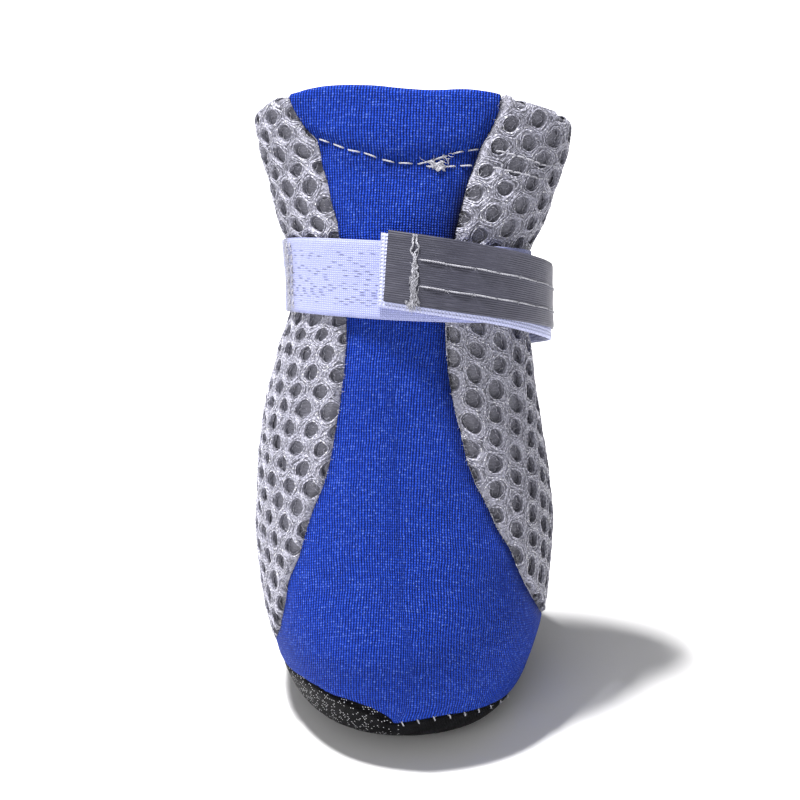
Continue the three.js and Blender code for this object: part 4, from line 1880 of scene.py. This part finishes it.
@dataclass
class Threads:
    """All the sewing of the boot, gathered in a few pieces.

    A rule is a number, or a kind of chance followed by what it takes.
    """

    body: Body
    knit: KnitPanel
    strip: Band
    tape: Band
    random: np.random.Generator = field(default_factory=lambda: np.random.default_rng(5))
    tab_rows: tuple[tuple[float, float], ...] = ((0.15, 0.11), (-0.22, -0.25))
    tab_strands: tuple[Level, ...] = (
        (3.2, 0.9, 0.49, -0.05), (5.2, -0.6, 0.49, 0.0), (4.2, 0.3, 0.18, -0.46), (3.4, 0.8, 0.10, -0.50),
        (5.0, -0.6, 0.14, -0.42), (4.6, -1.2, 0.02, -0.49), (3.8, 0.2, -0.1, -0.5),
    )

    def draw(self, rule: Rule) -> float:
        """The number itself, or one drawn by chance.

        Args:
            rule: The number or the rule.

        Returns:
            The number.
        """
        if not isinstance(rule, tuple):
            return rule
        draws = {BETWEEN: self.random.uniform, ABOUT: self.random.normal, SKEWED: self.random.beta,
                 ONE_OF: self.random.choice}
        return draws[rule[0]](*rule[1:])

    def tuft(self, sewing: Stitching, count: int, place: Callable[..., Array], spot: Sequence[Rule],
             way: Sequence[Rule], length: Rule, curl: float, radius: float = 0.045,
             flip: float = 1.0) -> None:
        """Adds loose fibres, each with its place, its direction and its length drawn in turn.

        Args:
            sewing: Where they go.
            count: How many.
            place: Gives a root's point for the numbers that spot draws.
            spot: Rules of the place.
            way: Rules of the direction's three parts.
            length: Rule of the length.
            curl: How much they wander.
            radius: Radius at the root.
            flip: Factor on the direction's first part.
        """
        for _ in range(count):
            start = place(*map(self.draw, spot))
            direction = np.array([self.draw(rule) for rule in way]) * (flip, 1.0, 1.0)
            sewing.fibre(start, direction, self.draw(length), curl, radius)

    def on_knit(self, rise: Number, degrees: Number, height: Number) -> Array:
        """A point over the knit or mesh.

        Args:
            rise: Height up the last.
            degrees: Angle from the toe.
            height: Distance over the face.

        Returns:
            Points in millimetres.
        """
        way = self.body.wrap.way(rise)
        left, right = self.body.seams.left.at(rise), self.body.seams.right.at(rise)
        held = np.clip(degrees, left, right)
        inside = (degrees > left) & (degrees < right)
        depth = np.where(inside, self.knit.depth(way, rise, held, left, right), 0.1)
        return self.body.wrap.place(way, degrees, depth - height)

    def hem(self, sewing: Stitching) -> None:
        """Sews the two rows below the collar and the tuft where they part.

        Args:
            sewing: Where the thread goes.
        """
        seams = self.body.seams
        rows = ((seams.hem, -36.0, 27.5, 28.0), (seams.hem_second, 5.0, 26.0, 9.0),
                (seams.hem, 33.0, 74.0, 22.0), (seams.hem_second, 33.0, 70.0, 20.0))
        for line, first, final, length in rows:
            sewing.row(lambda share, height: self.on_knit(line.at(blend(first, final, share)),
                                                          blend(first, final, share), height), length)
        t = shares(14)
        for k in range(6):
            degrees = 7.0 + 0.6 * k + (6.5 - 0.5 * k) * t
            rise = 104.7 - 0.22 * k + 0.25 * np.sin(9.0 * t + 1.7 * k)
            sewing.strand(self.on_knit(rise, degrees, 0.15 + 0.35 * np.sin(math.pi * t)), 0.13)
        self.tuft(sewing, 26, lambda degrees, off: self.on_knit(seams.hem.at(degrees) + off, degrees, 0.1),
                  ((BETWEEN, 5.0, 15.0), (BETWEEN, -0.7, 0.3)),
                  ((BETWEEN, -0.4, 1.0), -0.35, (BETWEEN, -0.35, 0.3)), (BETWEEN, 1.0, 2.6), 2.2, 0.07)

    def toe(self, sewing: Stitching) -> None:
        """Sews small ticks across the toe seam on the right.

        Args:
            sewing: Where the thread goes.
        """
        t = shares(7)
        for degrees in np.arange(5.0, 58.0, 6.6):
            rise = self.body.seams.toe.at(degrees) + 0.55 - 1.25 * t
            path = self.body.last.point(rise, degrees + 1.2 * t, -0.05 - 0.22 * np.sin(math.pi * t))
            sewing.strand(path)
            self.tuft(sewing, 2, lambda: path[1], (),
                      ((ABOUT, 0.0, 1.0), (ABOUT, -0.8, 1.0), (ABOUT, 0.4, 1.0)), 0.7, 1.8)

    def tab(self, sewing: Stitching) -> None:
        """Sews two rows along the tab and the messy double bar by its free end.

        Args:
            sewing: Where the thread goes.
        """
        face = self.strip.face
        for near, far in self.tab_rows:
            sewing.row(lambda share, height: face(5.5 + 135.0 * share, blend(near, far, share)
                                                  + 0.004 * np.sin(40.0 * share), height),
                       66.0, 6.0, 0.04, 0.15, -0.08)
        for angle in (141.0, 145.0):
            sewing.row(lambda share, height: face(angle + 0.6 * np.sin(6.0 * share),
                                                  0.43 - 0.86 * share, height), 12.0, 2.1, high=0.2)
        share = shares(26)
        for offset, lean, low, high in self.tab_strands:
            wander = 0.5 * np.sin(11.0 * share + 2.0 * offset) + 0.3 * np.sin(23.0 * share + lean)
            height = 0.16 + 0.16 * np.sin(17.0 * share + 3.0 * offset)
            sewing.strand(face(offset + lean * share + wander, blend(low, high, share), height), 0.13)
        self.tuft(sewing, 46, lambda down, degrees: face(degrees, 0.22 - 0.70 * down, 0.15),
                  ((SKEWED, 2.0, 1.2), (ABOUT, 4.3, 0.7)),
                  ((ABOUT, 0.0, 0.3), -0.2, (ONE_OF, (-1.0, 1.0))), (BETWEEN, 1.2, 3.0), 0.8, 0.085)
        self.tuft(sewing, 60, lambda degrees, across: face(degrees, across, 0.15),
                  ((ABOUT, 3.4, 0.8), (BETWEEN, -0.52, -0.40)),
                  ((ABOUT, -0.1, 0.4), -0.3, (ABOUT, -0.8, 0.4)), (BETWEEN, 0.7, 1.7), 0.9, 0.075)
        for near, far in self.tab_rows:
            for part in np.arange(1, 12) / 11.0:
                self.tuft(sewing, 5, lambda: face(5.5 + 135.0 * part, blend(near, far, part), 0.0), (),
                          ((ABOUT, 0.0, 0.7), -0.5, (ABOUT, 0.1, 0.7)),
                          (BETWEEN, 0.35, 0.8), 2.2, 0.06)

    def seams(self, sewing: Stitching) -> None:
        """Sews down the heel seam and at the left end of the loop tape.

        Args:
            sewing: Where the thread goes.
        """
        face = self.tape.face
        t = shares(9)
        for rise in np.arange(10.0, 108.0, 2.7):
            height = -0.35 + 0.55 * np.sin(math.pi * t) ** 0.6
            sewing.strand(self.body.last.point(rise + 1.3 * t, 180.0 + 6.8 * (t - 0.5), -height))
        for angle in (-64.0, -69.0):
            sewing.row(lambda share, height: face(angle + 0.9 * np.sin(7.0 * share),
                                                  0.46 - 0.92 * share, height), 13.0, 2.2, high=0.22)
        self.tuft(sewing, 110, lambda degrees, across: face(degrees, across, 0.02),
                  ((ABOUT, -68.0, 3.4), (BETWEEN, -0.48, 0.48)),
                  ((ABOUT, -0.3, 0.6), -0.5, (ABOUT, 0.0, 0.8)), (BETWEEN, 0.5, 1.4), 2.0)

    def frayed(self, sewing: Stitching) -> None:
        """Adds short fibres along the cut edges of the mesh beside the knit.

        Args:
            sewing: Where the thread goes.
        """
        seams = self.body.seams
        point = self.body.last.point
        for seam, sign, count in ((seams.left, -1.0, 190), (seams.right, 1.0, 300)):
            self.tuft(sewing, count, lambda rise, off, deep: point(rise, seam.at(rise) + sign * off, deep),
                      ((BETWEEN, 20.0, 116.0), (BETWEEN, -0.3, 1.2), (BETWEEN, 0.0, 0.5)),
                      ((BETWEEN, 0.1, 1.0), -0.7, (ABOUT, 0.0, 0.8)),
                      (BETWEEN, 0.35, 1.0), 1.8, 0.035, -sign)

    def build(self, finish: Material) -> None:
        """Sews every piece with thread of this material."""
        for name, ply, sew in (("hem_stitches", 0.10, self.hem), ("toe_stitches", 0.085, self.toe),
                               ("tab_stitches", 0.095, self.tab), ("seam_stitches", 0.10, self.seams),
                               ("frayed_fibres", 0.105, self.frayed)):
            sewing = Stitching(Cloth(name), ply)
            sew(sewing)
            sewing.cloth.build([finish], Slot.THREAD)


@dataclass
class Studio:
    """Floor, lights and camera: angles in degrees, the camera's places in millimetres."""

    azimuth: float = 4.0
    elevation: float = 28.0
    distance: float = 600.0
    aim: tuple[float, float, float] = (0.0, 4.0, 60.0)
    slide: tuple[float, float] = (-0.8, 1.0)
    lens: float = 135.0
    sensor: float = 36.0
    clip: tuple[float, float] = (0.01, 50.0)
    world: float = 0.30
    key_power: float = 40.0
    key_size: float = 0.14
    key_from: tuple[float, float, float] = (-0.30, 0.17, 1.32)
    fill_power: float = 7.0
    fill_size: float = 0.9
    fill_from: tuple[float, float, float] = (-0.60, -1.25, 0.55)
    lamp_colour: Colour = (1.0, 0.99, 0.98)
    floor_half: float = 6.0

    def add(self, name: str, data: bpy.types.ID, place: Sequence[float] = (0.0, 0.0, 0.0),
            towards: Optional[Vector] = None) -> Piece:
        """Adds an object to the scene.

        Args:
            name: Its name.
            data: Its mesh, light or camera.
            place: Where it is, in metres.
            towards: Which way it looks.

        Returns:
            The object.
        """
        piece = bpy.data.objects.new(name, data)
        piece.location = place
        if towards is not None:
            piece.rotation_euler = towards.to_track_quat("-Z", "Y").to_euler()
        bpy.context.scene.collection.objects.link(piece)
        return piece

    def camera(self) -> None:
        """Makes the scene's camera."""
        turn, tilt = math.radians(self.azimuth), math.radians(self.elevation)
        ahead = Vector((-math.sin(turn) * math.cos(tilt), math.cos(turn) * math.cos(tilt), -math.sin(tilt)))
        right = Vector((math.cos(turn), math.sin(turn), 0.0))
        aim = (Vector(self.aim) + right * self.slide[0] + right.cross(ahead) * self.slide[1]) * MM
        lens = bpy.data.cameras.new("camera")
        lens.lens = self.lens
        lens.sensor_width = self.sensor
        lens.clip_start, lens.clip_end = self.clip
        bpy.context.scene.camera = self.add("camera", lens, aim - ahead * self.distance * MM, ahead)

    def light(self, name: str, place: tuple[float, float, float], power: float, size: float) -> None:
        """Adds a soft square light that faces the boot.

        Args:
            name: Its name.
            place: Where it is, in metres.
            power: Watts.
            size: Side in metres.
        """
        lamp = bpy.data.lights.new(name, "AREA")
        lamp.energy = power
        lamp.size = size
        lamp.color = self.lamp_colour
        self.add(name, lamp, place, Vector(self.aim) * MM - Vector(place))

    def build(self) -> None:
        """Sets up the whole studio."""
        half = self.floor_half
        mesh = bpy.data.meshes.new("floor")
        mesh.from_pydata([(-half, -half, 0.0), (half, -half, 0.0), (half, half, 0.0), (-half, half, 0.0)],
                         [], [(0, 1, 2, 3)])
        mesh.materials.append(FloorFinish().material())
        ground = self.add("floor", mesh)
        self.light("key", self.key_from, self.key_power, self.key_size)
        self.light("fill", self.fill_from, self.fill_power, self.fill_size)
        sky = bpy.data.worlds.new("studio")
        sky.use_nodes = True
        sky.node_tree.nodes["Background"].inputs["Color"].default_value = (1.0, 1.0, 1.0, 1.0)
        sky.node_tree.nodes["Background"].inputs["Strength"].default_value = self.world
        bpy.context.scene.world = sky
        bpy.context.scene.view_settings.view_transform = "Standard"
        self.camera()


@dataclass(frozen=True)
class Cut:
    """How a piece of cloth was cut, in metres, and what it lies on."""

    piece: str
    width: float
    length: float
    area: float
    under: tuple[str, ...]


CUTS = (
    Cut("knit_panel", 0.100, 0.150, 0.0056, ("liner",)),
    Cut("mesh_panel_left", 0.062, 0.135, 0.0074, ("liner",)),
    Cut("mesh_panel_right", 0.060, 0.135, 0.0071, ("liner",)),
    Cut("liner", 0.170, 0.130, 0.0205, ("insole_pad",)),
    Cut("loop_tape", 0.015, 0.120, 0.0018, ("mesh_panel_left", "knit_panel")),
    Cut("hook_tape", 0.0142, 0.068, 0.00096, ("loop_tape",)),
    Cut("reflective_band", 0.0136, 0.067, 0.00091, ("hook_tape",)),
)


def declare(pieces: Sequence[Piece]) -> None:
    """Looks up the cut of every sheet of cloth by its name and does nothing more with it.

    Args:
        pieces: The sheets.
    """
    cuts = {cut.piece: cut for cut in CUTS}
    for piece in pieces:
        cut = cuts[piece.name]
        list(cut.under)


def main() -> None:
    """Builds the boot, piece by piece, and its studio."""
    logging.basicConfig(level=logging.INFO, format="%(message)s")
    last = Last()
    body = Body(last, Wrap(last), Seams(), CREASES)
    net = NetFinish().material()
    yarn = NetFinish().yarn()
    thread = ThreadFinish().material()

    knit = KnitPanel(body)
    pieces = [knit.build(KnitFinish().material())]
    left = MeshPanel(body, Side.LEFT, (3.2, 3.4), (2.56, -3.7), (1.0, 2.0), 3)
    right = MeshPanel(body, Side.RIGHT, (1.4, 4.6), (4.4, -3.1), (0.0, 1.0), 8)
    pieces += [left.build(net, yarn), right.build(net, yarn)]
    pieces.append(Liner(body).build(BackingFinish().material(), LiningFinish().material("lining")))
    Sole(body).build(SoleFinish().material("sole_band", 0.28), SoleFinish().material("sole_tread", 0.0))
    Insole(body).build(LiningFinish(0.8).material("insole_cloth"))

    line = StrapLine()
    tape = Band(body, line, "loop_tape", 78.0, -235.0, 15.0, 0.3, 0.7, False, dirt_at=-72.0)
    pieces.append(tape.build(LoopFinish().material(), Slot.LOOP, "strap_loop_tape"))
    hook = Band(body, line, "hook_tape", -9.3, 148.0, 14.2, 1.3, 0.7, True, lower=0.9, sag=1.1, slant=1.1)
    pieces.append(hook.build(HookFinish().material(), Slot.HOOK, "strap_hook_tape"))
    strip = Band(body, line, "reflective_band", -6.4, 148.0, 13.6, 2.3, 0.5, True, slant=1.3)
    pieces.append(strip.build(ReflectiveFinish().material(), Slot.REFLECTIVE, "reflective_strip"))
    Threads(body, knit, strip, tape).build(thread)

    declare(pieces)
    Studio().build()


if __name__ == "__main__":
    main()
